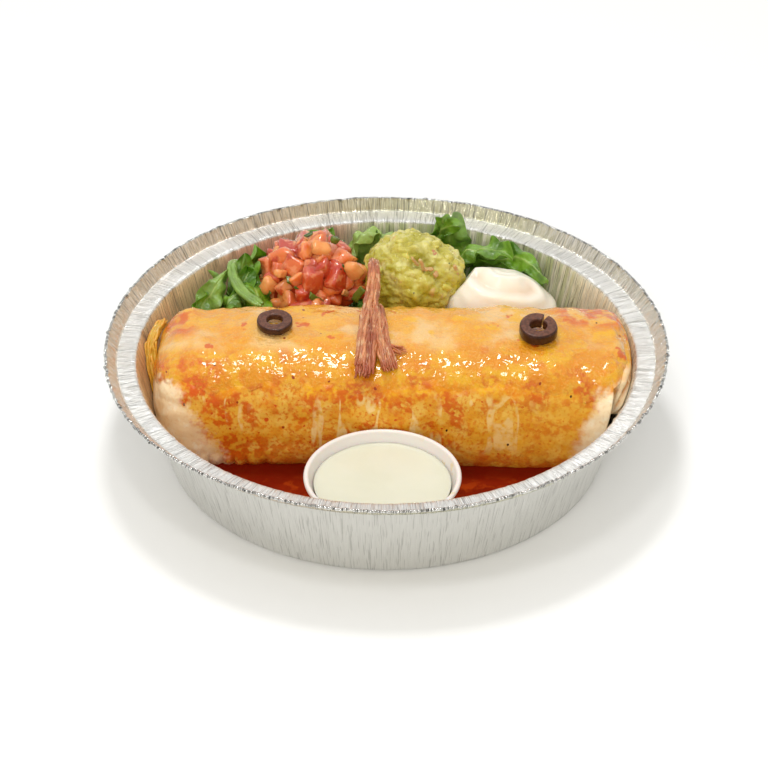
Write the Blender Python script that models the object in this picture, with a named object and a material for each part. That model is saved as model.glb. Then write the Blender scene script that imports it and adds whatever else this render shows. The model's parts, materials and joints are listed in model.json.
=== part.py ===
"""A wet burrito meal in a round foil take-out pan: the burrito under melted cheese, with olives and shredded
beef on top, salsa, guacamole, sour cream and lettuce behind it, red sauce and a cup of white dip in front.

Metres, +Z up, +Y towards the back of the pan. The origin is on the table under the pan's centre.
"""

import math
import random

import bmesh
import bpy
from mathutils import Matrix, Vector, noise
from mathutils.bvhtree import BVHTree

TOUCH = 0.0003  # gap left between pieces that rest on each other
SLIVER = 0.00004  # edges shorter than this are merged after a Boolean

# Round foil pan, 9 inch size
FOIL = 0.0006
PAN_HEIGHT = 0.0435  # table to the lid shelf
PAN_CORNER_RADIUS = 0.0902  # where the wall's line meets the table
PAN_MOUTH_RADIUS = 0.103  # inner edge of the lid shelf
PAN_FILLET = 0.0025
PAN_WALL_LEVELS = (0.0, 0.0009, PAN_FILLET, PAN_HEIGHT - 0.0018)
SHELF_RADIUS = 0.1103
COLLAR_RADIUS = 0.1138
COLLAR_HEIGHT = 0.0048
HEM_RADIUS = 0.1153
PAN_SEGMENTS = 60
FACET_ROOM = 0.0005
FLOOR = FOIL + TOUCH  # where food and cup stand

# Burrito: semi-axes of its cross-section, (centre y, centre z, front, back, top, bottom)
BODY_SECTION = (0.001, 0.0275, 0.0330, 0.0345, 0.0255, 0.0275 - FLOOR)
FLAP_SECTION = (0.005, 0.0350, 0.0190, 0.0220, 0.0140, 0.0160)
BURRITO_LEFT = -0.0962
BURRITO_RIGHT = 0.1016
WRAP_END = 0.0895  # the outer wrap stops here, and the tucked flap goes on
LEFT_CAP = 0.020
FLAP_CAP = 0.009
SHOULDER = 0.030  # length over which the top falls towards the right end
SHOULDER_DROP = 0.0022
TOP_POWER = 2.5  # superellipse powers: a rounder top and a flatter bottom
BOTTOM_POWER = 4.0
BODY_STATIONS = 31
BODY_SIDES = 26
BODY_RELIEF = 0.0007
FRONT_SPREAD = 0.0020  # the right half lies further forward than the left

# Melted cheese over the burrito
CHEESE_LEFT = -0.0945
CHEESE_RIGHT = 0.0995
CHEESE_GAP = 0.00045
CHEESE_THICKNESS = 0.0011
CHEESE_SIDES = range(4, 11)  # the tortilla's sides that it covers whole, counted from +Y over the top

# Scoops behind the burrito: centre, radii, level of the flat foot
SALSA = (Vector((-0.0312, 0.0618, 0.0368)), Vector((0.0236, 0.0215, 0.0228)), 0.0180)
GUACAMOLE = (Vector((0.0122, 0.0622, 0.0388)), Vector((0.0222, 0.0216, 0.0226)), 0.0160)
CREAM = (Vector((0.0465, 0.0553, 0.0300)), Vector((0.0243, 0.0172, 0.0168)), 0.0150)
SALSA_WALL = (Vector((-0.0089, 0.0620, 0.0370)), Vector((1, 0, 0)))  # where salsa and guacamole press together
CREAM_WALL = (Vector((0.0275, 0.0560, 0.0330)), Vector((0.80, -0.30, -0.52)).normalized())
SALSA_CHUNKS = 32
SALSA_SEED = 2

# Lettuce behind the burrito
BED_FRONT = 0.0385
BED_TOP = 0.0175
BED_HALF_LENGTH = 0.0720
LEAF_THICKNESS = 0.0008

# Red sauce in front of the burrito
SAUCE_LEVEL = 0.0082
SAUCE_HALF_LENGTH = 0.0830
SAUCE_BACK = -0.0200

# Cup of dip
CUP_PLACE = Vector((-0.0014, -0.0650, FLOOR))
CUP_HEIGHT = 0.0290
CUP_FOOT_RADIUS = 0.0205
CUP_MOUTH_RADIUS = 0.0290
CUP_LIP_RADIUS = 0.0315
CUP_WALL = 0.0008
CUP_SEGMENTS = 36
DIP_DEPTH_BELOW_RIM = 0.0045


def material(name, colour, roughness, metallic=0.0):
    made = bpy.data.materials.new(name)
    made.use_nodes = True
    shader = made.node_tree.nodes["Principled BSDF"]
    shader.inputs["Base Color"].default_value = (*colour, 1.0)
    shader.inputs["Roughness"].default_value = roughness
    shader.inputs["Metallic"].default_value = metallic
    made.diffuse_color = (*colour, 1.0)
    return made


def new_object(name, bm, finish=None, sharp=math.radians(50)):
    """Makes a scene object of a bmesh, with its faces turned outwards and shaded smooth."""
    bmesh.ops.recalc_face_normals(bm, faces=bm.faces)
    mesh = bpy.data.meshes.new(name)
    bm.to_mesh(mesh)
    bm.free()
    mesh.shade_smooth()
    mesh.set_sharp_from_angle(angle=sharp)
    made = bpy.data.objects.new(name, mesh)
    bpy.context.scene.collection.objects.link(made)
    if finish:
        mesh.materials.append(finish)
    return made


def skin_rings(bm, rings, closed=False):
    """Joins rings of equally many points with quads. A closed stack joins its last ring to its first."""
    made = [[bm.verts.new(p) for p in ring] for ring in rings]
    pairs = list(zip(made, made[1:]))
    if closed:
        pairs.append((made[-1], made[0]))
    for low, high in pairs:
        count = len(low)
        for i in range(count):
            j = (i + 1) % count
            bm.faces.new((low[i], low[j], high[j], high[i]))
    return made


def cap_with_point(bm, ring, point):
    pole = bm.verts.new(point)
    for i, vertex in enumerate(ring):
        bm.faces.new((vertex, ring[(i + 1) % len(ring)], pole))


def evaluated_mesh(thing):
    graph = bpy.context.evaluated_depsgraph_get()
    return bpy.data.meshes.new_from_object(thing.evaluated_get(graph))


def boolean(target, tools, operation):
    """Applies one Boolean of a collection of tools to the target, and removes the tools."""
    group = bpy.data.collections.new(target.name + "_tools")
    bpy.context.scene.collection.children.link(group)
    for tool in tools:
        group.objects.link(tool)
    cut = target.modifiers.new("tools", "BOOLEAN")
    cut.operation = operation
    cut.operand_type = "COLLECTION"
    cut.collection = group
    cut.solver = "EXACT"
    mesh = evaluated_mesh(target)
    target.modifiers.clear()
    target.data = mesh
    for tool in tools:
        bpy.data.objects.remove(tool)
    bpy.data.collections.remove(group)
    bm = bmesh.new()
    bm.from_mesh(mesh)
    bmesh.ops.remove_doubles(bm, verts=bm.verts, dist=SLIVER)
    bmesh.ops.dissolve_degenerate(bm, edges=bm.edges, dist=SLIVER)
    bm.to_mesh(mesh)
    bm.free()


def keep_largest(thing):
    """Drops every loose scrap but the piece with the most faces."""
    bm = bmesh.new()
    bm.from_mesh(thing.data)
    left = set(bm.faces)
    pieces = []
    while left:
        start = left.pop()
        found, front = {start}, [start]
        while front:
            for edge in front.pop().edges:
                for face in edge.link_faces:
                    if face in left:
                        left.remove(face)
                        found.add(face)
                        front.append(face)
        pieces.append(found)
    largest = max(pieces, key=len)
    bmesh.ops.delete(bm, geom=[f for f in bm.faces if f not in largest], context="FACES")
    bm.to_mesh(thing.data)
    bm.free()


def smooth_step(value, low, high):
    t = min(1.0, max(0.0, (value - low) / (high - low)))
    return t * t * (3 - 2 * t)


def blunt_end(distance, length, power=2.4):
    """Share of the full section at a distance from a blunt tip of that length."""
    t = min(1.0, max(0.0, distance / length))
    return (1 - (1 - t) ** power) ** (1 / power)


# Pan


def pan_inner_radius(z):
    """Inside radius of the pan's wall at a height, with the fillet where it meets the floor."""
    slope = (PAN_MOUTH_RADIUS - PAN_CORNER_RADIUS) / PAN_HEIGHT
    radius = PAN_CORNER_RADIUS + slope * z
    if z < PAN_FILLET:
        radius -= PAN_FILLET * (1 - math.sqrt(1 - (1 - z / PAN_FILLET) ** 2))
    return radius


def pan_wall_path():
    """The upper side of the foil from the floor's edge to the lid shelf, as (r, z)."""
    return [(pan_inner_radius(z) - FOIL, z + FOIL) for z in PAN_WALL_LEVELS]


def pan_room(z):
    """Radius that is free for food at a height. It allows for the flats of the faceted wall."""
    path = pan_wall_path()
    for (low_r, low_z), (high_r, high_z) in zip(path, path[1:]):
        if z <= high_z or high_z == path[-1][1]:
            share = max(0.0, (z - low_z) / (high_z - low_z))
            return low_r + (high_r - low_r) * share - FACET_ROOM


def keep_in_pan(point, gap=0.0):
    """Presses a point that lies beyond the wall back against it."""
    reach = math.hypot(point.x, point.y)
    limit = pan_room(min(point.z, PAN_HEIGHT)) - gap
    if reach > limit and point.z < PAN_HEIGHT + 0.002:
        point.x *= limit / reach
        point.y *= limit / reach
    return point


def offset_path(path, distance):
    """Moves an open path of (r, z) points sideways, to its right."""
    moved = []
    for i, (r, z) in enumerate(path):
        before, after = path[max(i - 1, 0)], path[min(i + 1, len(path) - 1)]
        dr, dz = after[0] - before[0], after[1] - before[1]
        length = math.hypot(dr, dz)
        moved.append((r + distance * dz / length, z - distance * dr / length))
    return moved


def pan_upper_path():
    """The foil's upper side from the floor's edge over shelf and collar to the tip of the hem."""
    crest = PAN_HEIGHT + COLLAR_HEIGHT
    rim = [
        (PAN_MOUTH_RADIUS + 0.0006, PAN_HEIGHT),
        (SHELF_RADIUS, PAN_HEIGHT),
        (COLLAR_RADIUS, crest),
        (HEM_RADIUS, crest - 0.0002),
        (HEM_RADIUS, crest - 0.0022),
    ]
    return pan_wall_path() + rim


def make_pan():
    upper = pan_upper_path()
    lower = offset_path(upper, FOIL)
    lower[0] = (upper[0][0], 0.0)
    bm = bmesh.new()
    turns = [2 * math.pi * i / PAN_SEGMENTS for i in range(PAN_SEGMENTS)]
    rings = [
        [Vector((r * math.cos(a), r * math.sin(a), z)) for a in turns] for r, z in upper + lower[::-1]
    ]
    made = skin_rings(bm, rings)
    cap_with_point(bm, made[0], Vector((0, 0, FOIL)))
    cap_with_point(bm, made[-1], Vector((0, 0, 0)))
    return new_object("foil_pan", bm, material("aluminium_foil", (0.80, 0.80, 0.79), 0.28, 1.0))


# Burrito


def burrito_section(x):
    """The section's centre and semi-axes at a place along the burrito."""
    wrap = 1 - smooth_step(x, WRAP_END - 0.004, WRAP_END + 0.0015)
    mixed = [flap + (body - flap) * wrap for flap, body in zip(FLAP_SECTION, BODY_SECTION)]
    centre_y, centre_z, front, back, top, bottom = mixed
    top -= SHOULDER_DROP * smooth_step(x, WRAP_END - SHOULDER, WRAP_END) * wrap
    front += FRONT_SPREAD * math.sin(x / BURRITO_RIGHT * math.pi / 2) * wrap
    size = blunt_end(x - BURRITO_LEFT, LEFT_CAP) * blunt_end(BURRITO_RIGHT - x, FLAP_CAP)
    return centre_y, centre_z, front * size, back * size, top * size, bottom * size


def burrito_point(x, angle):
    """A point of the tortilla. The angle runs from +Y over the top to the front."""
    centre_y, centre_z, front, back, top, bottom = burrito_section(x)
    c, s = math.cos(angle), math.sin(angle)
    power = TOP_POWER if s >= 0 else BOTTOM_POWER
    y = centre_y + math.copysign(abs(c) ** (2 / power), c) * (back if c >= 0 else front)
    z = centre_z + math.copysign(abs(s) ** (2 / power), s) * (top if s >= 0 else bottom)
    return Vector((x, y, z))


def burrito_surface(x, angle, lift=0.0):
    """A point over the tortilla's gentle bumps, lifted off it by a distance."""
    step = 0.0005
    turn = 0.02
    along = burrito_point(x + step, angle) - burrito_point(x - step, angle)
    around = burrito_point(x, angle + turn) - burrito_point(x, angle - turn)
    normal = around.cross(along).normalized()
    point = burrito_point(x, angle)
    bump = BODY_RELIEF * noise.noise(point * 55) * smooth_step(point.z, 0.004, 0.015)
    return keep_in_pan(point + normal * (bump + lift))


def burrito_stations():
    """Places along the burrito: close together at both ends and at the wrap's edge."""
    left = [BURRITO_LEFT + LEFT_CAP * t**2 for t in (0.16, 0.3, 0.45, 0.62, 0.8)]
    edge = [WRAP_END - 0.004, WRAP_END - 0.0012, WRAP_END + 0.0015]
    flap = [BURRITO_RIGHT - FLAP_CAP * t for t in (0.7, 0.35, 0.12, 0.03)]
    start, stop = BURRITO_LEFT + LEFT_CAP, WRAP_END - 0.008
    count = BODY_STATIONS - len(left) - len(edge) - len(flap)
    middle = [start + (stop - start) * i / (count - 1) for i in range(count)]
    return left + middle + edge + flap


def make_burrito():
    bm = bmesh.new()
    stations = burrito_stations()
    angles = [2 * math.pi * i / BODY_SIDES for i in range(BODY_SIDES)]
    made = skin_rings(bm, [[burrito_surface(x, a) for a in angles] for x in stations])
    for ring, tip in ((made[0], BURRITO_LEFT), (made[-1], BURRITO_RIGHT)):
        middle = sum((v.co for v in ring), Vector()) / len(ring)
        cap_with_point(bm, ring, keep_in_pan(Vector((tip, middle.y, middle.z)), TOUCH))
    return new_object("burrito", bm, material("flour_tortilla", (0.80, 0.55, 0.25), 0.5))


def cheese_angles(x):
    """Angles across the cheese: every side of the tortilla under it, and the melted edges just beyond."""
    inner = [2 * math.pi * k / BODY_SIDES for k in CHEESE_SIDES]
    wave = 0.6 * math.sin(95 * x + 0.5) + 0.4 * math.sin(233 * x + 2.0)
    reach = math.pi / BODY_SIDES
    front = inner[-1] + reach * (1 + 0.8 * wave)
    back = inner[0] - reach * (1 + 0.5 * math.sin(120 * x + 1.0))
    return [back] + inner + [front]


def make_cheese():
    """A thin blanket that follows the burrito's top, thicker in the middle than at its edges."""
    stations = [x for x in burrito_stations() if CHEESE_LEFT < x < CHEESE_RIGHT]
    inner, outer = [], []
    for x in stations:
        end = min(1.0, 0.4 + (x - stations[0]) / 0.008, 0.4 + (stations[-1] - x) / 0.008)
        angles = cheese_angles(x)
        low, high = [], []
        for j, angle in enumerate(angles):
            rim = 0.5 if j in (0, len(angles) - 1) else 1.0
            swell = 1 + 0.35 * noise.noise(Vector((90 * x, 2.5 * angle, 0)))
            low.append(burrito_surface(x, angle, CHEESE_GAP))
            high.append(burrito_surface(x, angle, CHEESE_GAP + CHEESE_THICKNESS * min(rim, end) * swell))
        inner.append(low)
        outer.append(high)
    bm = bmesh.new()
    made = skin_rings(bm, [low + high[::-1] for low, high in zip(inner, outer)])
    for ring in (made[0], made[-1]):
        last = len(ring) - 1
        for j in range(len(ring) // 2 - 1):
            bm.faces.new((ring[j], ring[j + 1], ring[last - j - 1], ring[last - j]))
    return new_object("melted_cheese", bm, material("melted_cheddar", (0.85, 0.45, 0.08), 0.25))


# Toppings on the cheese


def world_points(thing):
    return [thing.matrix_world @ v.co for v in thing.data.vertices]


def tree_of(thing):
    return BVHTree.FromPolygons(world_points(thing), [tuple(p.vertices) for p in thing.data.polygons])


def settle(thing, support, down):
    """Moves a piece down until it just rests on a support, measured from the points of both."""
    bpy.context.view_layer.update()
    falls = []
    for points, other, way in ((world_points(thing), support, down), (world_points(support), thing, -down)):
        tree = tree_of(other)
        hits = [tree.ray_cast(point, way) for point in points]
        falls += [hit[3] for hit in hits if hit[0] is not None]
    thing.location += down * (min(falls) - 1.5 * TOUCH)


def stand_on(thing, support, x, angle, lean):
    """Lays a piece on the cheese, its own +Z along the surface normal and leaning a little to the front."""
    foot = burrito_surface(x, angle, 0)
    normal = (burrito_surface(x, angle, 0.001) - foot).normalized()
    turn = (normal - Vector((0, lean, 0))).to_track_quat("Z", "Y").to_matrix().to_4x4()
    thing.matrix_world = Matrix.Translation(foot + normal * 0.010) @ turn
    settle(thing, support, -normal)


def make_olive(name, cheese, x, angle, middle_radius, half_height, lean, slit=None):
    """A slice of a pitted black olive. A slit is the direction in which the ring is cut open."""
    half_width, sides, segments = 0.0020, 8, 24
    gap = math.radians(9)
    if slit is None:
        turns = [2 * math.pi * i / segments for i in range(segments)]
    else:
        turns = [slit + gap + (2 * math.pi - 2 * gap) * i / segments for i in range(segments + 1)]
    rings = []
    for a in turns:
        ring = []
        for k in range(sides):
            c, s = math.cos(2 * math.pi * k / sides), math.sin(2 * math.pi * k / sides)
            r = middle_radius + half_width * math.copysign(abs(c) ** 0.6, c)
            ring.append(Vector((r * math.cos(a), r * math.sin(a), half_height * math.copysign(abs(s) ** 0.6, s))))
        rings.append(ring)
    bm = bmesh.new()
    made = skin_rings(bm, rings, closed=slit is None)
    if slit is not None:
        for ring in (made[0], made[-1]):
            bm.faces.new(ring)
    olive = new_object(name, bm, material(name + "_skin", (0.05, 0.02, 0.015), 0.3))
    stand_on(olive, cheese, x, angle, lean)
    return olive


def make_shred(name, path, width, thickness, flare, twist):
    """A pulled strand of beef along a smooth path, with grooves between its fibres."""
    stations, sides = 20, 8
    points = smooth_path(path, stations)
    rings = []
    for i, point in enumerate(points):
        ahead = (points[min(i + 1, stations - 1)] - points[max(i - 1, 0)]).normalized()
        across = ahead.cross(Vector((0, 0, 1))).normalized()
        up = across.cross(ahead)
        share = i / (stations - 1)
        end = blunt_end(min(share, 1 - share) + 0.01, 0.07)
        wide = width * (1 + flare * smooth_step(share, 0.75, 1.0)) * end
        ring = []
        for k in range(sides):
            phi = 2 * math.pi * k / sides
            groove = 1 + 0.13 * math.sin(3 * phi + twist * share)
            offset = across * (wide * math.cos(phi)) + up * (thickness * end * math.sin(phi))
            ring.append(point + offset * groove)
        rings.append(ring)
    bm = bmesh.new()
    made = skin_rings(bm, rings)
    for ring, point in ((made[0], points[0]), (made[-1], points[-1])):
        cap_with_point(bm, ring, point)
    return new_object(name, bm, material(name + "_meat", (0.30, 0.12, 0.07), 0.5))


def smooth_path(knots, count):
    """Evenly numbered points on a Catmull-Rom curve through the knots."""
    ends = [2 * knots[0] - knots[1]] + knots + [2 * knots[-1] - knots[-2]]
    spans = len(knots) - 1
    points = []
    for i in range(count):
        place = spans * i / (count - 1)
        k = min(int(place), spans - 1)
        t = place - k
        p0, p1, p2, p3 = ends[k : k + 4]
        points.append(
            0.5 * (2 * p1 + (p2 - p0) * t + (2 * p0 - 5 * p1 + 4 * p2 - p3) * t**2
                   + (3 * p1 - p0 - 3 * p2 + p3) * t**3)
        )
    return points


def make_shreds(cheese):
    """Two strands that lie over the burrito's ridge. The longer one reaches back to the guacamole."""
    long_half, short_half = 0.0016, 0.0014
    over = CHEESE_GAP + 1.6 * CHEESE_THICKNESS
    long_path = [Vector((-0.0048, 0.0520, 0.0560)), Vector((-0.0046, 0.0430, 0.0580))] + [
        burrito_surface(x, math.radians(angle), over + 1.2 * long_half)
        for x, angle in ((-0.0050, 62), (-0.0056, 80), (-0.0066, 98), (-0.0076, 117), (-0.0086, 137))
    ]
    short_path = [
        burrito_surface(x, math.radians(angle), over + 1.2 * short_half)
        for x, angle in ((-0.0002, 62), (0.0003, 80), (0.0014, 98), (0.0026, 115), (0.0040, 130))
    ]
    long_shred = make_shred("beef_shred_long", long_path, 0.0025, long_half, 0.65, 2.0)
    short_shred = make_shred("beef_shred_short", short_path, 0.0021, short_half, 0.35, -3.0)
    for shred in (long_shred, short_shred):
        settle(shred, cheese, Vector((0, 0.3, -1)).normalized())


# Scoops


def lumpy_ball(bm, scoop, relief, grain, rings, segments, walls, grow=0.0):
    """A ball with bumps and a flat foot, pressed flat where it meets a wall."""
    centre, radii, foot = scoop
    stack = []
    for i in range(1, rings):
        polar = math.pi * i / rings
        stack.append([ball_point(scoop, polar, 2 * math.pi * j / segments, relief, grain, grow) for j in range(segments)])
    poles = [ball_point(scoop, polar, 0, relief, grain, grow) for polar in (0, math.pi)]
    made = skin_rings(bm, stack)
    cap_with_point(bm, made[0], poles[0])
    cap_with_point(bm, made[-1], poles[1])
    for vertex in bm.verts:
        press_flat(vertex, walls, grow)
        vertex.co.z = max(vertex.co.z, foot - grow)


def ball_point(scoop, polar, turn, relief, grain, grow):
    centre, radii, foot = scoop
    direction = Vector((math.sin(polar) * math.cos(turn), math.sin(polar) * math.sin(turn), math.cos(polar)))
    bump = relief * noise.noise(direction * grain + centre * 1000)
    return centre + Vector([d * (r + grow + bump) for d, r in zip(direction, radii)])


def press_flat(vertex, walls, grow=0.0):
    """Moves a vertex back to each wall that it has crossed, in rounds, as one wall may push it over another."""
    for point, normal in walls * 4:
        beyond = (vertex.co - point).dot(normal) - grow
        if beyond > 0:
            vertex.co -= normal * beyond


def walls_of(name):
    """The walls that a scoop is pressed against, each facing away from it."""
    salsa_point, salsa_normal = SALSA_WALL
    cream_point, cream_normal = CREAM_WALL
    half = 0.5 * TOUCH
    return {
        "salsa": [(salsa_point - salsa_normal * half, salsa_normal)],
        "guacamole": [
            (salsa_point + salsa_normal * half, -salsa_normal),
            (cream_point - cream_normal * half, cream_normal),
        ],
        "cream": [(cream_point + cream_normal * half, -cream_normal)],
    }[name]


def salsa_chunk(draw, place, outward):
    """One dice of tomato, its corners a little uneven, turned at random about its place."""
    bm = bmesh.new()
    bmesh.ops.create_cube(bm, size=1.0)
    size = Vector((draw.uniform(0.008, 0.012), draw.uniform(0.006, 0.009), draw.uniform(0.005, 0.007)))
    turn = outward.to_track_quat("Z", "Y").to_matrix() @ Matrix.Rotation(draw.uniform(0, math.pi), 3, "Z")
    turn = turn @ Matrix.Rotation(draw.uniform(-0.6, 0.6), 3, "X")
    for vertex in bm.verts:
        corner = Vector([c * s * draw.uniform(0.78, 1.1) for c, s in zip(vertex.co, size)])
        vertex.co = place + turn @ corner
    bmesh.ops.triangulate(bm, faces=bm.faces)
    return new_object("chunk", bm)


def beyond_wall(point, normal):
    """A block that fills the space beyond a wall."""
    bm = bmesh.new()
    bmesh.ops.create_cube(bm, size=0.12)
    turn = normal.to_track_quat("Z", "Y").to_matrix()
    for vertex in bm.verts:
        vertex.co = point + turn @ (vertex.co + Vector((0, 0, 0.06)))
    return new_object("beyond", bm)


def make_salsa():
    """A scoop of diced tomato: a smaller core with the dice that show fused on, spread by the golden angle."""
    centre, radii, foot = SALSA
    core = (centre, radii - Vector((0.0040, 0.0040, 0.0040)), foot - 0.004)
    bm = bmesh.new()
    lumpy_ball(bm, core, 0.0010, 2.0, 10, 16, [])
    salsa = new_object("pico_de_gallo", bm, material("diced_tomato", (0.70, 0.16, 0.06), 0.3))
    draw = random.Random(SALSA_SEED)
    chunks = []
    for i in range(SALSA_CHUNKS):
        up = 1 - 1.45 * (i + 0.5) / SALSA_CHUNKS
        turn = i * math.pi * (3 - math.sqrt(5))
        flat = math.sqrt(1 - up * up)
        outward = Vector((flat * math.cos(turn), flat * math.sin(turn), up))
        place = centre + Vector([d * (r - 0.0042) for d, r in zip(outward, radii)])
        chunks.append(salsa_chunk(draw, place, outward))
    boolean(salsa, chunks, "UNION")
    walls = walls_of("salsa") + [(Vector((centre.x, centre.y, foot)), Vector((0, 0, -1)))]
    boolean(salsa, [beyond_wall(point, normal) for point, normal in walls], "DIFFERENCE")
    keep_largest(salsa)
    return salsa


def make_guacamole():
    bm = bmesh.new()
    lumpy_ball(bm, GUACAMOLE, 0.0019, 3.2, 18, 26, walls_of("guacamole"))
    return new_object("guacamole", bm, material("mashed_avocado", (0.52, 0.50, 0.12), 0.5), math.radians(70))


def make_cream():
    """A spooned dollop: a low mound with one smooth groove that winds round its top."""
    bm = bmesh.new()
    lumpy_ball(bm, CREAM, 0.0004, 1.5, 16, 28, [])
    centre = CREAM[0]
    for vertex in bm.verts:
        local = vertex.co - centre
        if local.z > 0.002:
            turn = math.atan2(local.y, local.x)
            reach = math.hypot(local.x, local.y) / CREAM[1].x
            vertex.co.z += 0.0011 * math.sin(turn + 9 * reach) * smooth_step(local.z, 0.002, 0.010)
        press_flat(vertex, walls_of("cream"))
    return new_object("sour_cream", bm, material("cultured_cream", (0.90, 0.87, 0.78), 0.35), math.radians(70))


# Lettuce


def make_leaf(root, middle, tip, half_width, across, phase):
    """A thin wavy leaf along a bent rib. Both of its faces are split into triangles alike."""
    rows, columns = 6, 3
    across = Vector(across).normalized()
    root, middle, tip = Vector(root), Vector(middle), Vector(tip)
    grid = []
    for i in range(rows + 1):
        t = i / rows
        rib = root * (1 - t) ** 2 + middle * 2 * t * (1 - t) + tip * t * t
        ahead = ((middle - root) * (1 - t) + (tip - middle) * t).normalized()
        normal = ahead.cross(across).normalized()
        width = half_width * (0.45 + 0.55 * math.sin(math.pi * min(1.0, 0.12 + 0.8 * t)))
        row = []
        for j in range(columns + 1):
            side = 2 * j / columns - 1
            wave = 0.0016 * math.sin(5 * t + 2.5 * side + phase) + 0.0012 * side * math.sin(9 * t + phase)
            point = rib + across * (side * width) + normal * wave
            row.append((keep_in_pan(point, LEAF_THICKNESS), normal))
        grid.append(row)
    return leaf_solid(grid)


def leaf_solid(grid):
    """Closes a sheet of (point, normal) into a solid of the leaf's thickness."""
    bm = bmesh.new()
    sides = [
        [[bm.verts.new(p + n * (way * LEAF_THICKNESS / 2)) for p, n in row] for row in grid] for way in (1, -1)
    ]
    rows, columns = len(grid) - 1, len(grid[0]) - 1
    for sheet in sides:
        for i in range(rows):
            for j in range(columns):
                a, b, c, d = sheet[i][j], sheet[i][j + 1], sheet[i + 1][j + 1], sheet[i + 1][j]
                bm.faces.new((a, b, c))
                bm.faces.new((a, c, d))
    upper, lower = sides
    edge = [(0, j) for j in range(columns)] + [(i, columns) for i in range(rows)]
    edge += [(rows, columns - j) for j in range(columns)] + [(rows - i, 0) for i in range(rows)]
    for (i, j), (k, m) in zip(edge, edge[1:] + edge[:1]):
        bm.faces.new((upper[i][j], upper[k][m], lower[k][m], lower[i][j]))
    return new_object("leaf", bm)


def make_lettuce_bed():
    """The packed lettuce under the scoops: from behind the burrito to the pan's wall, with a bumpy top."""
    stations, strips = 22, 5
    rings = []
    for i in range(stations + 1):
        x = BED_HALF_LENGTH * (2 * i / stations - 1)
        low_back, high_back = (math.sqrt(pan_room(z) ** 2 - x * x) for z in (FLOOR, BED_TOP))
        ring = [Vector((x, BED_FRONT, FLOOR)), Vector((x, low_back, FLOOR))]
        for j in range(strips + 1):
            y = high_back + (BED_FRONT - high_back) * j / strips
            bump = 0.0018 * noise.noise(Vector((x, y, 0)) * 130)
            ring.append(Vector((x, y, BED_TOP + bump - 0.004 * (j == strips))))
        rings.append(ring)
    bm = bmesh.new()
    made = skin_rings(bm, rings)
    for ring in (made[0], made[-1]):
        bm.faces.new(ring)
    return new_object("lettuce", bm, material("lettuce_leaf", (0.16, 0.36, 0.05), 0.4))


def leaf_places():
    """Each leaf that shows: root, middle of its rib, tip, half width, direction across, phase of its waves."""
    left = [
        ((-0.066, 0.050, 0.012), (-0.080, 0.052, 0.032), (-0.070, 0.054, 0.046), 0.0090, (0.35, 0.94, 0), 0.4),
        ((-0.058, 0.046, 0.012), (-0.064, 0.058, 0.036), (-0.060, 0.066, 0.050), 0.0070, (0.90, 0.20, 0.3), 1.7),
        ((-0.056, 0.060, 0.013), (-0.062, 0.072, 0.034), (-0.054, 0.074, 0.047), 0.0085, (0.75, 0.65, 0), 3.0),
    ]
    back = [
        ((-0.034, 0.084, 0.013), (-0.034, 0.091, 0.034), (-0.027, 0.087, 0.0495), 0.0100, (1, 0, 0), 0.9),
        ((-0.008, 0.084, 0.013), (-0.008, 0.094, 0.034), (-0.004, 0.086, 0.049), 0.0120, (1, 0, 0.15), 2.2),
        ((0.026, 0.085, 0.013), (0.027, 0.093, 0.038), (0.028, 0.087, 0.0555), 0.0100, (1, 0.1, -0.1), 0.2),
    ]
    right = [
        ((0.044, 0.072, 0.013), (0.048, 0.084, 0.032), (0.042, 0.076, 0.045), 0.0110, (0.95, -0.3, 0), 1.1),
        ((0.062, 0.066, 0.012), (0.068, 0.072, 0.030), (0.062, 0.068, 0.041), 0.0110, (0.75, -0.66, -0.2), 2.6),
    ]
    return left + back + right


def make_lettuce():
    """One heap of leaves, cut round the scoops that stand in it."""
    lettuce = make_lettuce_bed()
    boolean(lettuce, [make_leaf(*place) for place in leaf_places()], "UNION")
    cutters = []
    for scoop, name, spare in ((SALSA, "salsa", 0.0030), (GUACAMOLE, "guacamole", 0.0020), (CREAM, "cream", 0.0016)):
        bm = bmesh.new()
        lumpy_ball(bm, scoop, 0.0, 1.0, 9, 18, [], grow=spare)
        for vertex in bm.verts:
            vertex.co.z = max(vertex.co.z, scoop[2] - TOUCH)
        cutters.append(new_object("room_for_" + name, bm))
    boolean(lettuce, cutters, "DIFFERENCE")
    keep_largest(lettuce)
    return lettuce


# Sauce and dip


def burrito_front(x, z):
    """How far forward the tortilla reaches at a height below its middle."""
    centre_y, centre_z, front, back, top, bottom = burrito_section(x)
    depth = min(1.0, abs(z - centre_z) / bottom)
    return centre_y - front * (1 - depth**BOTTOM_POWER) ** (1 / BOTTOM_POWER)


def cup_outline(grow=0.0):
    """The cup's outside from its foot to under its lip, as (r, z) from its own foot."""
    under_lip = CUP_HEIGHT - 0.0020
    return [
        (CUP_FOOT_RADIUS + grow, -grow),
        (CUP_FOOT_RADIUS + 0.0004 + grow, 0.0010),
        (CUP_MOUTH_RADIUS + CUP_WALL + grow, under_lip),
    ]


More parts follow.
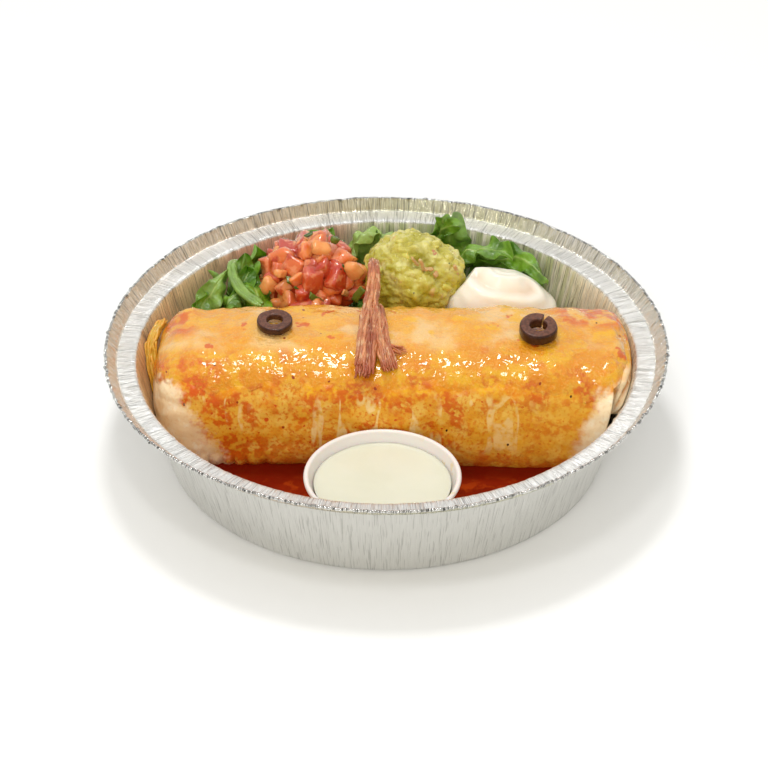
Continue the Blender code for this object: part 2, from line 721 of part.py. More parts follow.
def make_sauce():
    """A pool on the pan's floor from the wall to the burrito, cut round the cup."""
    stations = 34
    levels = (FLOOR, 0.0030, 0.0056, SAUCE_LEVEL)
    rings = []
    for i in range(stations + 1):
        x = SAUCE_HALF_LENGTH * (2 * i / stations - 1)
        wall = [Vector((x, -math.sqrt(pan_room(z) ** 2 - x * x), z)) for z in levels]
        edge = [Vector((x, min(SAUCE_BACK, burrito_front(x, z) - 0.0010), z)) for z in levels]
        rings.append(wall + edge[::-1])
    bm = bmesh.new()
    made = skin_rings(bm, rings)
    for ring in (made[0], made[-1]):
        bm.faces.new(ring)
    sauce = new_object("enchilada_sauce", bm, material("red_chilli_sauce", (0.45, 0.05, 0.01), 0.15))
    cutter = bmesh.new()
    turns = [2 * math.pi * i / CUP_SEGMENTS for i in range(CUP_SEGMENTS)]
    outline = [(CUP_FOOT_RADIUS + 0.0004, -0.002)] + cup_outline(0.0004)[1:]
    made = skin_rings(
        cutter, [[CUP_PLACE + Vector((r * math.cos(a), r * math.sin(a), z)) for a in turns] for r, z in outline]
    )
    for ring in (made[0], made[-1]):
        cutter.faces.new(ring)
    boolean(sauce, [new_object("room_for_cup", cutter)], "DIFFERENCE")
    return sauce


def turned(name, outline, finish, segments):
    """A solid turned about the cup's axis from a closed outline that starts and ends on the axis."""
    bm = bmesh.new()
    turns = [2 * math.pi * i / segments for i in range(segments)]
    rings = [[CUP_PLACE + Vector((r * math.cos(a), r * math.sin(a), z)) for a in turns] for r, z in outline[1:-1]]
    made = skin_rings(bm, rings)
    for ring, (r, z) in ((made[0], outline[0]), (made[-1], outline[-1])):
        cap_with_point(bm, ring, CUP_PLACE + Vector((0, 0, z)))
    return new_object(name, bm, finish)


def make_cup():
    """A tapered portion cup with a thick rolled lip."""
    lip = [
        (CUP_LIP_RADIUS - 0.0004, CUP_HEIGHT - 0.0020),
        (CUP_LIP_RADIUS, CUP_HEIGHT - 0.0010),
        (CUP_LIP_RADIUS - 0.0005, CUP_HEIGHT - 0.0002),
        (CUP_MOUTH_RADIUS + 0.0012, CUP_HEIGHT),
        (CUP_MOUTH_RADIUS + 0.0002, CUP_HEIGHT - 0.0005),
    ]
    inside = [
        (CUP_MOUTH_RADIUS - 0.0004, CUP_HEIGHT - 0.0030),
        (CUP_FOOT_RADIUS - 0.0004, 0.0024),
        (CUP_FOOT_RADIUS - 0.0016, 0.0012),
    ]
    outline = [(0, 0)] + cup_outline() + lip + inside + [(0, 0.0012)]
    return turned("dip_cup", outline, material("white_plastic", (0.86, 0.84, 0.83), 0.3), CUP_SEGMENTS)


def make_dip():
    level = CUP_HEIGHT - DIP_DEPTH_BELOW_RIM
    slope = (CUP_MOUTH_RADIUS - CUP_FOOT_RADIUS) / (CUP_HEIGHT - 0.0054)
    bottom = 0.0012 + TOUCH
    foot = CUP_FOOT_RADIUS - 0.0020
    wall = [(foot, bottom), (CUP_FOOT_RADIUS - 0.0008, 0.0030)]
    top = CUP_FOOT_RADIUS - 0.0008 + slope * (level - 0.0030)
    outline = [(0, bottom)] + wall + [(top, level), (0, level)]
    return turned("white_dip", outline, material("queso_blanco", (0.86, 0.85, 0.66), 0.3), CUP_SEGMENTS)


def main():
    for thing in list(bpy.data.objects):
        bpy.data.objects.remove(thing)
    make_pan()
    make_burrito()
    cheese = make_cheese()
    make_olive("olive_ring_left", cheese, -0.0455, math.radians(88), 0.0056, 0.0016, 0.06)
    make_olive("olive_ring_right", cheese, 0.0618, math.radians(94), 0.0059, 0.0026, 0.08, slit=math.radians(62))
    make_shreds(cheese)
    make_salsa()
    make_guacamole()
    make_cream()
    make_lettuce()
    make_sauce()
    make_cup()
    make_dip()


main()
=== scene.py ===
import json
import math
import random

import bmesh
import bpy
import numpy as np
from mathutils import Euler, Matrix, Vector, noise

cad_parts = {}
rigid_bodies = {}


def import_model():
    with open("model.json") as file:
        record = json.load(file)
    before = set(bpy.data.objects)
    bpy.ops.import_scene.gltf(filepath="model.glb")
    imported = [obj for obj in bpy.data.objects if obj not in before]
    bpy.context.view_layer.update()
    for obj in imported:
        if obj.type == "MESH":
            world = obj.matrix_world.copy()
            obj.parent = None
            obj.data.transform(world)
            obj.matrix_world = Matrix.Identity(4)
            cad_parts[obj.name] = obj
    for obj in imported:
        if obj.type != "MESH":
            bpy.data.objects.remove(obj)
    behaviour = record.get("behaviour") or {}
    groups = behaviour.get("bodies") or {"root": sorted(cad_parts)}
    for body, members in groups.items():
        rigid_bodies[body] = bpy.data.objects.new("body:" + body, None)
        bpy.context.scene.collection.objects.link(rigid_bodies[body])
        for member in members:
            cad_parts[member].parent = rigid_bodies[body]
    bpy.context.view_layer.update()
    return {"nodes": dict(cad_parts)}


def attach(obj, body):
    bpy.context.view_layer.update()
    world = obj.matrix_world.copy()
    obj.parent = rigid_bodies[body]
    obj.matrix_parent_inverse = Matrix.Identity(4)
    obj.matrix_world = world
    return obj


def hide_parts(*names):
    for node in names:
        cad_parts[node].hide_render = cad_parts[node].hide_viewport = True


for old in list(bpy.data.objects):
    bpy.data.objects.remove(old)
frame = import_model()
print("frame loaded")


# small helpers for meshes

def smoothStep(value, low, high):
    t = np.clip((value - low) / (high - low), 0.0, 1.0)
    return t * t * (3 - 2 * t)


def bluntEnd(distance, length, power=2.4):
    t = np.clip(distance / length, 0.0, 1.0)
    return (1 - (1 - t) ** power) ** (1 / power)


def lumps(points, scale, shift=0.0):
    # smooth noise between about -1 and 1 at every point, any array shape
    flat = np.asarray(points, float).reshape(-1, 3) * scale + shift
    found = np.array([noise.noise(Vector(p)) for p in flat])
    return found.reshape(np.asarray(points).shape[:-1])


def addPiece(name, points, faces, material, attributes=None):
    mesh = bpy.data.meshes.new(name)
    mesh.from_pydata(np.asarray(points, float).reshape(-1, 3).tolist(), [], faces)
    mesh.materials.append(material)
    mesh.shade_smooth()
    for key, values in (attributes or {}).items():
        values = np.asarray(values, np.float32)
        kind, field = ("FLOAT_VECTOR", "vector") if values.ndim > 1 else ("FLOAT", "value")
        mesh.attributes.new(key, kind, "POINT").data.foreach_set(field, values.ravel())
    piece = bpy.data.objects.new(name, mesh)
    bpy.context.scene.collection.objects.link(piece)
    return piece


def fillAttribute(mesh, name, value):
    mesh.attributes.new(name, "FLOAT", "POINT").data.foreach_set("value", [value] * len(mesh.vertices))


def pieceFromMesh(name, mesh, material):
    mesh.name = name
    mesh.materials.clear()
    mesh.materials.append(material)
    piece = bpy.data.objects.new(name, mesh)
    bpy.context.scene.collection.objects.link(piece)
    return piece


def ringFaces(rows, columns, firstPole=None, lastPole=None):
    # quads between closed rings, with triangles to the poles at both ends
    faces = []
    for i in range(rows - 1):
        for j in range(columns):
            k = (j + 1) % columns
            faces.append((i * columns + j, i * columns + k, (i + 1) * columns + k, (i + 1) * columns + j))
    if firstPole is not None:
        faces += [(j, firstPole, (j + 1) % columns) for j in range(columns)]
    if lastPole is not None:
        base = (rows - 1) * columns
        faces += [(base + (j + 1) % columns, lastPole, base + j) for j in range(columns)]
    return faces


def sheetFaces(rows, columns):
    # two faces of a sheet, upper rows first, and its closed edge
    size = rows * columns
    faces = []
    for i in range(rows - 1):
        for j in range(columns - 1):
            a, b = i * columns + j, i * columns + j + 1
            faces.append((a, b, b + columns, a + columns))
            faces.append((size + a, size + a + columns, size + b + columns, size + b))
    edge = [(0, j) for j in range(columns - 1)] + [(i, columns - 1) for i in range(rows - 1)]
    edge += [(rows - 1, j) for j in range(columns - 1, 0, -1)] + [(i, 0) for i in range(rows - 1, 0, -1)]
    for (i, j), (k, m) in zip(edge, edge[1:] + edge[:1]):
        a, b = i * columns + j, k * columns + m
        faces.append((b, a, size + a, size + b))
    return faces


def outwards(piece):
    bm = bmesh.new()
    bm.from_mesh(piece.data)
    bmesh.ops.recalc_face_normals(bm, faces=bm.faces)
    bm.to_mesh(piece.data)
    bm.free()
    return piece


def place(piece, slotName, *nodes):
    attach(piece, "root")
    if nodes:
        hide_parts(*nodes)
    return piece


# small helpers for materials

def groupTree(name, kind, inputs, outputs):
    # inputs and outputs by name, each one a socket type or, for a number, its first value
    tree = bpy.data.node_groups.new(name, kind)
    for key, value in inputs.items():
        sort = {float: "NodeSocketFloat", int: "NodeSocketInt"}.get(type(value), value)
        made = tree.interface.new_socket(name=key, in_out="INPUT", socket_type=sort)
        if sort != value:
            made.default_value = value
    for key, sort in outputs.items():
        tree.interface.new_socket(name=key, in_out="OUTPUT", socket_type=sort)
    return tree, tree.nodes.new("NodeGroupInput").outputs, tree.nodes.new("NodeGroupOutput").inputs


def addNode(tree, kind, settings=None, values=None):
    made = tree.nodes.new(kind)
    for key, value in (settings or {}).items():
        setattr(made, key, value)
    for key, value in (values or {}).items():
        if hasattr(value, "is_output"):
            tree.links.new(value, made.inputs[key])
        else:
            made.inputs[key].default_value = value
    return made


def makePatchGroup():
    # mask of soft-edged patches: noise between two levels
    tree, given, result = groupTree("patchMask", "ShaderNodeTree", {
        "Vector": "NodeSocketVector", "Scale": 100.0, "Detail": 3.0, "Low": 0.45, "High": 0.55},
        {"Mask": "NodeSocketFloat"})
    k = NodeKit(tree, given["Vector"])
    tree.links.new(k.ramp(k.grain(given["Scale"], given["Detail"]), given["Low"], given["High"]),
                   result["Mask"])
    return tree


def makeReliefGroup():
    # fine uneven surface
    tree, given, result = groupTree("fineRelief", "ShaderNodeTree", {
        "Vector": "NodeSocketVector", "Scale": 400.0, "Detail": 4.0, "Strength": 0.4, "Depth": 0.0005},
        {"Normal": "NodeSocketVector"})
    k = NodeKit(tree, given["Vector"])
    bump = k.add("ShaderNodeBump", None, {
        "Strength": given["Strength"], "Distance": given["Depth"],
        "Height": k.grain(given["Scale"], given["Detail"])})
    tree.links.new(bump.outputs[0], result["Normal"])
    return tree


def makeFleckGroup():
    # mask of small scattered flecks, slightly bent out of round
    tree, given, result = groupTree("fleckMask", "ShaderNodeTree", {
        "Vector": "NodeSocketVector", "Scale": 300.0, "Size": 0.12, "Share": 0.2},
        {"Mask": "NodeSocketFloat"})
    k = NodeKit(tree, given["Vector"])
    warp = k.add("ShaderNodeTexNoise", None, {"Vector": k.place, "Scale": given["Scale"],
                                              "Detail": 2.0}).outputs[1]
    bent = k.vectors("MULTIPLY_ADD", warp, (0.0016, 0.0016, 0.0016), k.place)
    cells = k.add("ShaderNodeTexVoronoi", None, {"Vector": bent, "Scale": given["Scale"]}).outputs
    number = k.add("ShaderNodeSeparateColor", None, {0: cells["Color"]}).outputs[0]
    near = k.maths("LESS_THAN", cells["Distance"], given["Size"])
    kept = k.maths("LESS_THAN", number, given["Share"])
    tree.links.new(k.times(near, kept), result["Mask"])
    return tree


class NodeKit:
    # short calls for the nodes that most finishes share, inside one node tree
    def __init__(self, tree, place=None):
        self.tree, self.place = tree, place

    def add(self, kind, settings=None, values=None):
        return addNode(self.tree, kind, settings, values)

    def stretched(self, scale):
        return self.add("ShaderNodeMapping", None, {"Vector": self.place, "Scale": scale}).outputs[0]

    def grain(self, scale, detail, where=None):
        values = {"Vector": where or self.place, "Scale": scale, "Detail": detail}
        return self.add("ShaderNodeTexNoise", None, values).outputs[0]

    def patches(self, scale, low, high, detail=3.0, where=None):
        return self.add("ShaderNodeGroup", {"node_tree": patchGroup}, {
            "Vector": where or self.place, "Scale": scale, "Detail": detail, "Low": low,
            "High": high}).outputs[0]

    def flecks(self, scale, size, share, where=None):
        return self.add("ShaderNodeGroup", {"node_tree": fleckGroup}, {
            "Vector": where or self.place, "Scale": scale, "Size": size, "Share": share}).outputs[0]

    def mix(self, share, first, second):
        values = {0: share, 6: (*first, 1) if isinstance(first, tuple) else first,
                  7: (*second, 1) if isinstance(second, tuple) else second}
        return self.add("ShaderNodeMix", {"data_type": "RGBA"}, values).outputs[2]

    def coats(self, colour, *layers):
        # lays pairs of a mask and a colour over a first colour, one after another
        for mask, tone in layers:
            colour = self.mix(mask, colour, tone)
        return colour

    def maths(self, operation, first, second=0.5, third=0.5, clamp=True):
        settings = {"operation": operation, "use_clamp": clamp}
        return self.add("ShaderNodeMath", settings, {0: first, 1: second, 2: third}).outputs[0]

    def times(self, *factors):
        total = factors[0]
        for factor in factors[1:]:
            total = self.maths("MULTIPLY", total, factor)
        return total

    def product(self, first, second):
        return self.maths("MULTIPLY", first, second, clamp=False)

    def linear(self, value, slope, start):
        # value times slope plus start, without limits
        return self.maths("MULTIPLY_ADD", value, slope, start, clamp=False)

    def ramp(self, value, low, high, outLow=0.0, outHigh=1.0):
        return self.add("ShaderNodeMapRange", {"interpolation_type": "SMOOTHSTEP"}, {
            "Value": value, "From Min": low, "From Max": high, "To Min": outLow,
            "To Max": outHigh}).outputs[0]

    def straight(self, value, low, high, outLow, outHigh):
        return self.add("ShaderNodeMapRange", None, {
            "Value": value, "From Min": low, "From Max": high, "To Min": outLow,
            "To Max": outHigh}).outputs[0]

    def vectors(self, operation, *values):
        return self.add("ShaderNodeVectorMath", {"operation": operation}, dict(enumerate(values))).outputs[0]

    def scaled(self, vector, factor):
        return self.add("ShaderNodeVectorMath", {"operation": "SCALE"},
                        {0: vector, "Scale": factor}).outputs[0]

    def chance(self, low, high, seed, number=None):
        # a random value for each element, or for each number
        values = {2: low, 3: high, "Seed": seed}
        if number is not None:
            values["ID"] = number
        return self.add("FunctionNodeRandomValue", {"data_type": "FLOAT"}, values).outputs[1]

    def attribute(self, name, output="Fac"):
        return self.add("ShaderNodeAttribute", {"attribute_name": name}).outputs[output]

    def axes(self):
        return self.add("ShaderNodeSeparateXYZ", None, {0: self.place}).outputs


class Finish(NodeKit):
    # one material with its Principled shader
    def __init__(self, name, settings):
        self.material = bpy.data.materials.new(name)
        self.material.use_nodes = True
        tree = self.material.node_tree
        self.shader = tree.nodes["Principled BSDF"]
        for key, value in settings.items():
            self.shader.inputs[key].default_value = value
        super().__init__(tree, addNode(tree, "ShaderNodeTexCoord").outputs["Object"])

    def relief(self, scale, strength, depth, detail=4.0, where=None):
        made = self.add("ShaderNodeGroup", {"node_tree": reliefGroup}, {
            "Vector": where or self.place, "Scale": scale, "Detail": detail, "Strength": strength,
            "Depth": depth})
        self.tree.links.new(made.outputs[0], self.shader.inputs["Normal"])

    def set(self, key, value):
        self.tree.links.new(value, self.shader.inputs[key])
        return self


def doughTone(k):
    return k.coats(k.mix(k.patches(60, 0.35, 0.65), (0.95, 0.77, 0.51), (0.88, 0.66, 0.39)),
                   (k.patches(260, 0.48, 0.66, 6.0), (0.96, 0.83, 0.62)),
                   (k.times(k.patches(700, 0.54, 0.66, 5.0), 0.35), (0.80, 0.52, 0.24)))


def stainedTone(k, x, z, level):
    # sauce over dough, with pale drips where it ran off
    run = k.maths("SUBTRACT", k.grain(100.0, 2.0, k.stretched((1.0, 1.0, 0.17))), 0.5, clamp=False)
    run = k.maths("ABSOLUTE", run, clamp=False)
    streak = k.times(k.ramp(run, 0.036, 0.014), k.patches(52, 0.41, 0.49, 2.0), k.ramp(level, -0.008, 0.000),
                     k.ramp(level, 0.026, 0.020), k.ramp(x, 0.066, 0.050))
    clear = k.maths("SUBTRACT", 1.0, streak)
    return k.coats(
        k.mix(k.patches(90, 0.40, 0.58, 5.0), (0.80, 0.425, 0.055), (0.77, 0.37, 0.028)),
        (k.times(k.patches(150, 0.47, 0.60, 7.0), 0.8), (0.83, 0.50, 0.095)),
        (k.times(clear, k.patches(190, 0.45, 0.60, 8.0), 0.75), (0.73, 0.285, 0.014)),
        (k.times(clear, k.patches(120, 0.51, 0.59, 7.0), k.patches(420, 0.40, 0.55, 5.0), 0.9),
         (0.64, 0.110, 0.006)),
        (k.times(clear, k.patches(760, 0.51, 0.62, 5.0), 0.75), (0.68, 0.180, 0.008)),
        (k.times(clear, k.flecks(430, 0.24, 0.14)), (0.60, 0.085, 0.005)),
        (k.times(clear, k.flecks(230, 0.20, 0.09), 0.9), (0.64, 0.070, 0.006)),
        (k.times(streak, k.patches(500, 0.30, 0.56, 4.0), 0.88), (0.87, 0.60, 0.25)),
        (k.times(k.ramp(x, -0.010, -0.070), k.patches(95, 0.50, 0.56, 7.0), k.patches(380, 0.40, 0.52, 5.0),
                 0.9),
         (0.62, 0.110, 0.006)),
        (k.times(k.ramp(x, 0.020, 0.070), 0.30), (0.86, 0.47, 0.045)),
        (k.times(k.ramp(z, 0.0165, 0.0100), k.patches(180, 0.40, 0.56, 5.0), 0.8), (0.60, 0.110, 0.006)))


def cheeseTone(k, level, high):
    rich = k.coats(k.mix(k.patches(100, 0.40, 0.58, 4.0), (0.86, 0.44, 0.016), (0.79, 0.300, 0.009)),
                   (k.times(k.patches(130, 0.55, 0.66, 5.0), 0.8), (0.72, 0.19, 0.010)))
    pale = k.times(k.patches(42, 0.50, 0.62, 4.0), k.ramp(level, 0.042, 0.050))
    yellow = k.times(k.patches(66, 0.55, 0.62, 4.0, k.stretched((1.0, 1.3, 1.0))),
                     k.ramp(level, 0.046, 0.054))
    return k.coats(
        k.mix(k.patches(70, 0.36, 0.62, 4.0), (0.89, 0.455, 0.058), (0.85, 0.360, 0.016)),
        (k.times(k.patches(120, 0.53, 0.64, 5.0), 0.45), (0.86, 0.30, 0.022)),
        (k.ramp(high, 0.0520, 0.0420), rich),
        (k.times(k.patches(300, 0.52, 0.60, 6.0), k.ramp(high, 0.0600, 0.0480), 0.55), (0.86, 0.285, 0.010)),
        (k.times(k.patches(900, 0.52, 0.64, 5.0), 0.40), (0.92, 0.51, 0.095)),
        (k.times(pale, 0.85), (0.92, 0.60, 0.25)),
        (k.times(yellow, 0.8), (0.90, 0.47, 0.012)))


def hotPatches(k, x, level, high):
    # places where red sauce shows through the cheese
    left = k.times(k.ramp(x, -0.060, -0.074), k.ramp(high, 0.012, 0.020), k.ramp(high, 0.042, 0.036),
                   k.patches(120, 0.38, 0.56, 6.0), k.patches(480, 0.34, 0.54, 5.0))
    backRight = k.times(k.ramp(x, 0.064, 0.076), k.ramp(level, 0.054, 0.060), k.patches(140, 0.40, 0.54, 4.0))
    backLeft = k.times(k.ramp(x, -0.074, -0.084), k.ramp(level, 0.050, 0.056),
                       k.patches(130, 0.40, 0.52, 4.0))
    dots = k.times(k.patches(90, 0.645, 0.68, 3.0), k.ramp(level, 0.036, 0.042))
    return k.maths("MAXIMUM", k.maths("MAXIMUM", left, backRight), k.maths("MAXIMUM", backLeft, dots))


def bareEnds(k, x, z, high):
    # the dough that stays clean at both ends of the roll, with a wandering edge
    wander, fine = k.grain(130.0, 6.0), k.grain(520.0, 5.0)
    left = k.linear(fine, 0.007, k.linear(wander, 0.014, k.linear(z, 0.55, x)))
    right = k.linear(fine, -0.010, k.linear(wander, 0.012, k.linear(k.maths("POWER", z, 2.0), -6.5, x)))
    return k.maths("MAXIMUM", k.times(k.ramp(left, -0.0455, -0.0535), k.ramp(high, 0.0320, 0.0260)),
                   k.times(k.ramp(right, 0.0725, 0.0795), k.ramp(high, 0.0320, 0.0255)))


def makeGlazeGroup():
    # colour of the sauced tortilla and of the cheese on it, by place alone, so that the two meet unseen
    tree, given, result = groupTree("meltedGlaze", "ShaderNodeTree",
                                    {"Vector": "NodeSocketVector", "Cover": 1.0},
                                    {"Color": "NodeSocketColor", "Wet": "NodeSocketFloat"})
    k = NodeKit(tree, given["Vector"])
    x, y, z = k.axes()
    front = k.linear(y, 0.68, z)  # falls from the top down the front
    level = k.maths("MINIMUM", front, k.linear(z, 2.0, -0.035), clamp=False)
    sway = k.grain(70.0, 4.0, k.stretched((1.0, 1.0, 0.6)))
    high = k.linear(sway, 0.026, k.maths("SUBTRACT", level, 0.013, clamp=False))
    high = k.linear(k.grain(260.0, 5.0), 0.014, k.maths("SUBTRACT", high, 0.007, clamp=False))
    border = k.times(k.ramp(high, 0.0150, 0.0215), k.ramp(high, 0.0340, 0.0270),
                     k.patches(85, 0.46, 0.58, 6.0),
                     k.patches(420, 0.36, 0.56, 5.0))
    melt = k.coats(
        k.mix(k.ramp(high, 0.0215, 0.0275), stainedTone(k, x, z, level), cheeseTone(k, level, high)),
        (k.times(border, 0.9), (0.66, 0.125, 0.008)),
        (k.times(hotPatches(k, x, level, high), 0.85), (0.72, 0.110, 0.010)),
        (k.flecks(270, 0.17, 0.04), (0.34, 0.045, 0.006)),
        (k.flecks(160, 0.075, 0.07, k.stretched((1.0, 1.0, 0.7))), (0.07, 0.016, 0.004)))
    melt = k.scaled(melt, k.ramp(level, 0.006, 0.020, 1.0, 0.88))  # painted shade: slightly darker above the hem, where the lamps light the roll most
    cover = k.times(k.maths("SUBTRACT", 1.0, bareEnds(k, x, z, high)), given["Cover"])
    tree.links.new(k.mix(cover, doughTone(k), melt), result["Color"])
    tree.links.new(cover, result["Wet"])
    return tree


patchGroup, reliefGroup, fleckGroup = makePatchGroup(), makeReliefGroup(), makeFleckGroup()
glazeGroup = makeGlazeGroup()


# round foil pan

panSizes = {
    "cornerRadius": 0.0902, "mouthRadius": 0.1030, "height": 0.0435, "fillet": 0.0025, "foil": 0.0006,
    "shelfRadius": 0.1103, "collarRadius": 0.1139, "collarRise": 0.0046, "beadRadius": 0.0006,
    "columns": 1440, "wallPleats": 620, "shelfPleats": 620, "collarPleats": 760,
    "outsideFrom": 46, "wallDepth": 0.00036, "shelfDepth": 0.00015, "collarDepth": 0.00034,
    "beadDepth": 0.00026,
}


def panInside(z):
    # inside radius of the smooth wall
    s = panSizes
    slope = (s["mouthRadius"] - s["cornerRadius"]) / s["height"]
    z = np.asarray(z, float)
    deep = np.clip(1 - (z - s["foil"]) / s["fillet"], 0, 1)
    rounding = s["fillet"] * (1 - np.sqrt(np.clip(1 - deep ** 2, 0, 1)))
    return s["cornerRadius"] + slope * np.clip(z - s["foil"], 0, s["height"]) - rounding - s["foil"]


def keepInPan(points, gap=0.0005):
    # presses points that lie beyond the wall back against it
    points = np.array(points, float)
    reach = np.hypot(points[..., 0], points[..., 1])
    limit = panInside(np.minimum(points[..., 2], panSizes["height"])) - gap
    over = (reach > limit) & (points[..., 2] < panSizes["height"] + 0.002)
    share = np.where(over, limit / np.maximum(reach, 1e-6), 1.0)
    points[..., 0] *= share
    points[..., 1] *= share
    return points


def pleatRow(rng, count, width, columns):
    # one turn of narrow ridges and valleys
    row = np.zeros(columns)
    index = np.arange(columns)
    for _ in range(count):
        middle, wide, high = rng.uniform(0, columns), width * rng.uniform(0.6, 1.7), rng.uniform(-1, 1)
        away = (index - middle + columns / 2) % columns - columns / 2
        row += high * np.exp(-((away / wide) ** 2))
    return row


def panProfile():
    # closed outline of the foil as (radius, height, zone, share along the zone)
    s = panSizes
    foil, top = s["foil"], s["height"]
    crest = top + s["collarRise"]
    path = [(r, foil, "floor", 0) for r in (0.012, 0.030, 0.048, 0.064, 0.076, 0.083)]
    path += [(float(panInside(foil + h)), foil + h, "fillet", 0) for h in (0.00004, 0.0002, 0.0006, 0.0013)]
    wallTop = top - 0.0011
    for i in range(9):
        z = foil + s["fillet"] + (wallTop - foil - s["fillet"]) * i / 8
        path.append((float(panInside(z)), z, "wall", i / 8))
    mouth = s["mouthRadius"]
    path += [(mouth - 0.0005, top - 0.0004, "shelf", 0.0), (mouth, top - 0.00008, "shelf", 0.05)]
    path += [(mouth + (s["shelfRadius"] - mouth) * t, top, "shelf", t)
             for t in (0.15, 0.35, 0.55, 0.75, 0.92)]
    path += [(s["shelfRadius"] + 0.0003, top + 0.00025, "collar", 0.0)]
    for i in range(1, 6):
        t = i / 5
        path.append((s["shelfRadius"] + (s["collarRadius"] - s["shelfRadius"]) * t, top + (crest - top) * t,
                     "collar", t))
    bead = s["beadRadius"]
    for i in range(10):
        turn = math.radians(150 - 30 * i)
        path.append((s["collarRadius"] + 0.0006 + bead * math.cos(turn),
                     crest - 0.0002 + bead * math.sin(turn), "bead", 0))
    thin = 0.00042
    for i in (4, 3, 2, 1):
        t = i / 5
        path.append((s["shelfRadius"] + (s["collarRadius"] - s["shelfRadius"]) * t + thin,
                     top + (crest - top) * t - 0.0003, "collar", t))
    path += [(mouth + (s["shelfRadius"] - mouth) * t, top - thin, "shelf", t) for t in (0.95, 0.6, 0.3, 0.08)]
    for i in range(7, -1, -1):
        z = foil + s["fillet"] + (wallTop - foil - s["fillet"]) * i / 8
        path.append((float(panInside(z)) + thin, z, "wall", i / 8))
    path += [(float(panInside(foil + h)) + thin, foil + h - 0.0005, "fillet", 0) for h in (0.0016, 0.0008)]
    path += [(0.0862, 0.0, "floor", 0), (0.0835, 0.0, "floor", 0), (0.0820, 0.0003, "floor", 0),
             (0.0805, 0.0, "floor", 0)]
    path += [(r, 0.0, "floor", 0) for r in (0.060, 0.036, 0.014)]
    return path


def makePan():
    s = panSizes
    rng = random.Random(11)
    columns = s["columns"]
    turn = np.arange(columns) / columns * 2 * math.pi
    wallRows = [pleatRow(rng, s["wallPleats"], 1.2, columns) for _ in range(4)]
    dents = pleatRow(rng, 60, 9, columns)
    shelfRows = [pleatRow(rng, s["shelfPleats"], 0.95, columns) for _ in range(2)]
    collarRows = [pleatRow(rng, s["collarPleats"], 0.95, columns) for _ in range(3)]
    pinches = pleatRow(rng, 300, 0.9, columns)
    sway = 0.0004 * np.sin(2 * turn + 0.7) + 0.0002 * np.sin(5 * turn + 2.0) + 0.00006 * dents
    path = panProfile()
    rings, streaks = [], []
    along = 0.0
    for n, (r, z, zone, t) in enumerate(path):
        before, after = path[max(n - 1, 0)], path[min(n + 1, len(path) - 1)]
        out = Vector((after[0] - before[0], after[1] - before[1])).normalized()
        normal = (out.y, -out.x)
        inner = 1 if n < len(path) // 2 else -1
        push = np.zeros(columns)
        lift = np.zeros(columns)
        if zone == "wall":
            k = min(int(t * 3), 2)
            row = wallRows[k] * (1 - (t * 3 - k)) + wallRows[k + 1] * (t * 3 - k)
            push = (row + 0.5 * dents) * s["wallDepth"] * (0.25 + 0.75 * t) * (1.0 if inner > 0 else 0.6)
        elif zone == "shelf":
            row = shelfRows[0] * (1 - t) + shelfRows[1] * t
            lift = row * s["shelfDepth"] + 0.0004 * np.sin(3 * turn + 1) * t
        elif zone == "collar":
            k = min(int(t * 2), 1)
            row = collarRows[k] * (1 - (t * 2 - k)) + collarRows[k + 1] * (t * 2 - k)
            push = row * s["collarDepth"] * (0.35 + 0.65 * t) + sway * t
            lift = 0.0004 * np.sin(3 * turn + 1) + 0.00010 * dents * t
        elif zone == "bead":
            push = sway + pinches * s["beadDepth"] + collarRows[2] * s["collarDepth"]
            lift = 0.0004 * np.sin(3 * turn + 1) + 0.00010 * dents + pinches * s["beadDepth"] * 0.6 * inner
        radius = r + push
        rings.append(np.stack([radius * np.cos(turn), radius * np.sin(turn), np.maximum(z + lift, 0.0)], -1))
        along += math.hypot(r - before[0], z - before[1])
        streaks.append(np.stack([np.cos(turn), np.sin(turn), np.full(columns, along * 0.35)], -1))
    points = np.concatenate(rings)
    rows = len(rings)
    points = np.vstack([points, [[0, 0, s["foil"]], [0, 0, 0]]])
    streak = np.vstack([np.concatenate(streaks), [[0, 0, 0], [0, 0, along * 0.35]]])
    faces = ringFaces(rows, columns, rows * columns, rows * columns + 1)
    last = s["outsideFrom"]

    def mark(rule, poles=(0.0, 0.0)):
        # one value for each point, from the number and the zone of its ring
        return [float(rule(n, row[2])) for n, row in enumerate(path) for _ in range(columns)] + list(poles)

    pan = addPiece("foilPan", points, faces, foilFinish(), {
        "streak": streak, "outside": mark(lambda n, zone: n >= last, (0.0, 1.0)),
        "flat": mark(lambda n, zone: zone == "shelf"), "inner": mark(lambda n, zone: zone == "wall"
                and n < last),
        "collar": mark(lambda n, zone: zone == "collar" and n < last),
        "bead": mark(lambda n, zone: zone == "bead")})
    return place(outwards(pan), "aluminium_foil", "foil_pan")


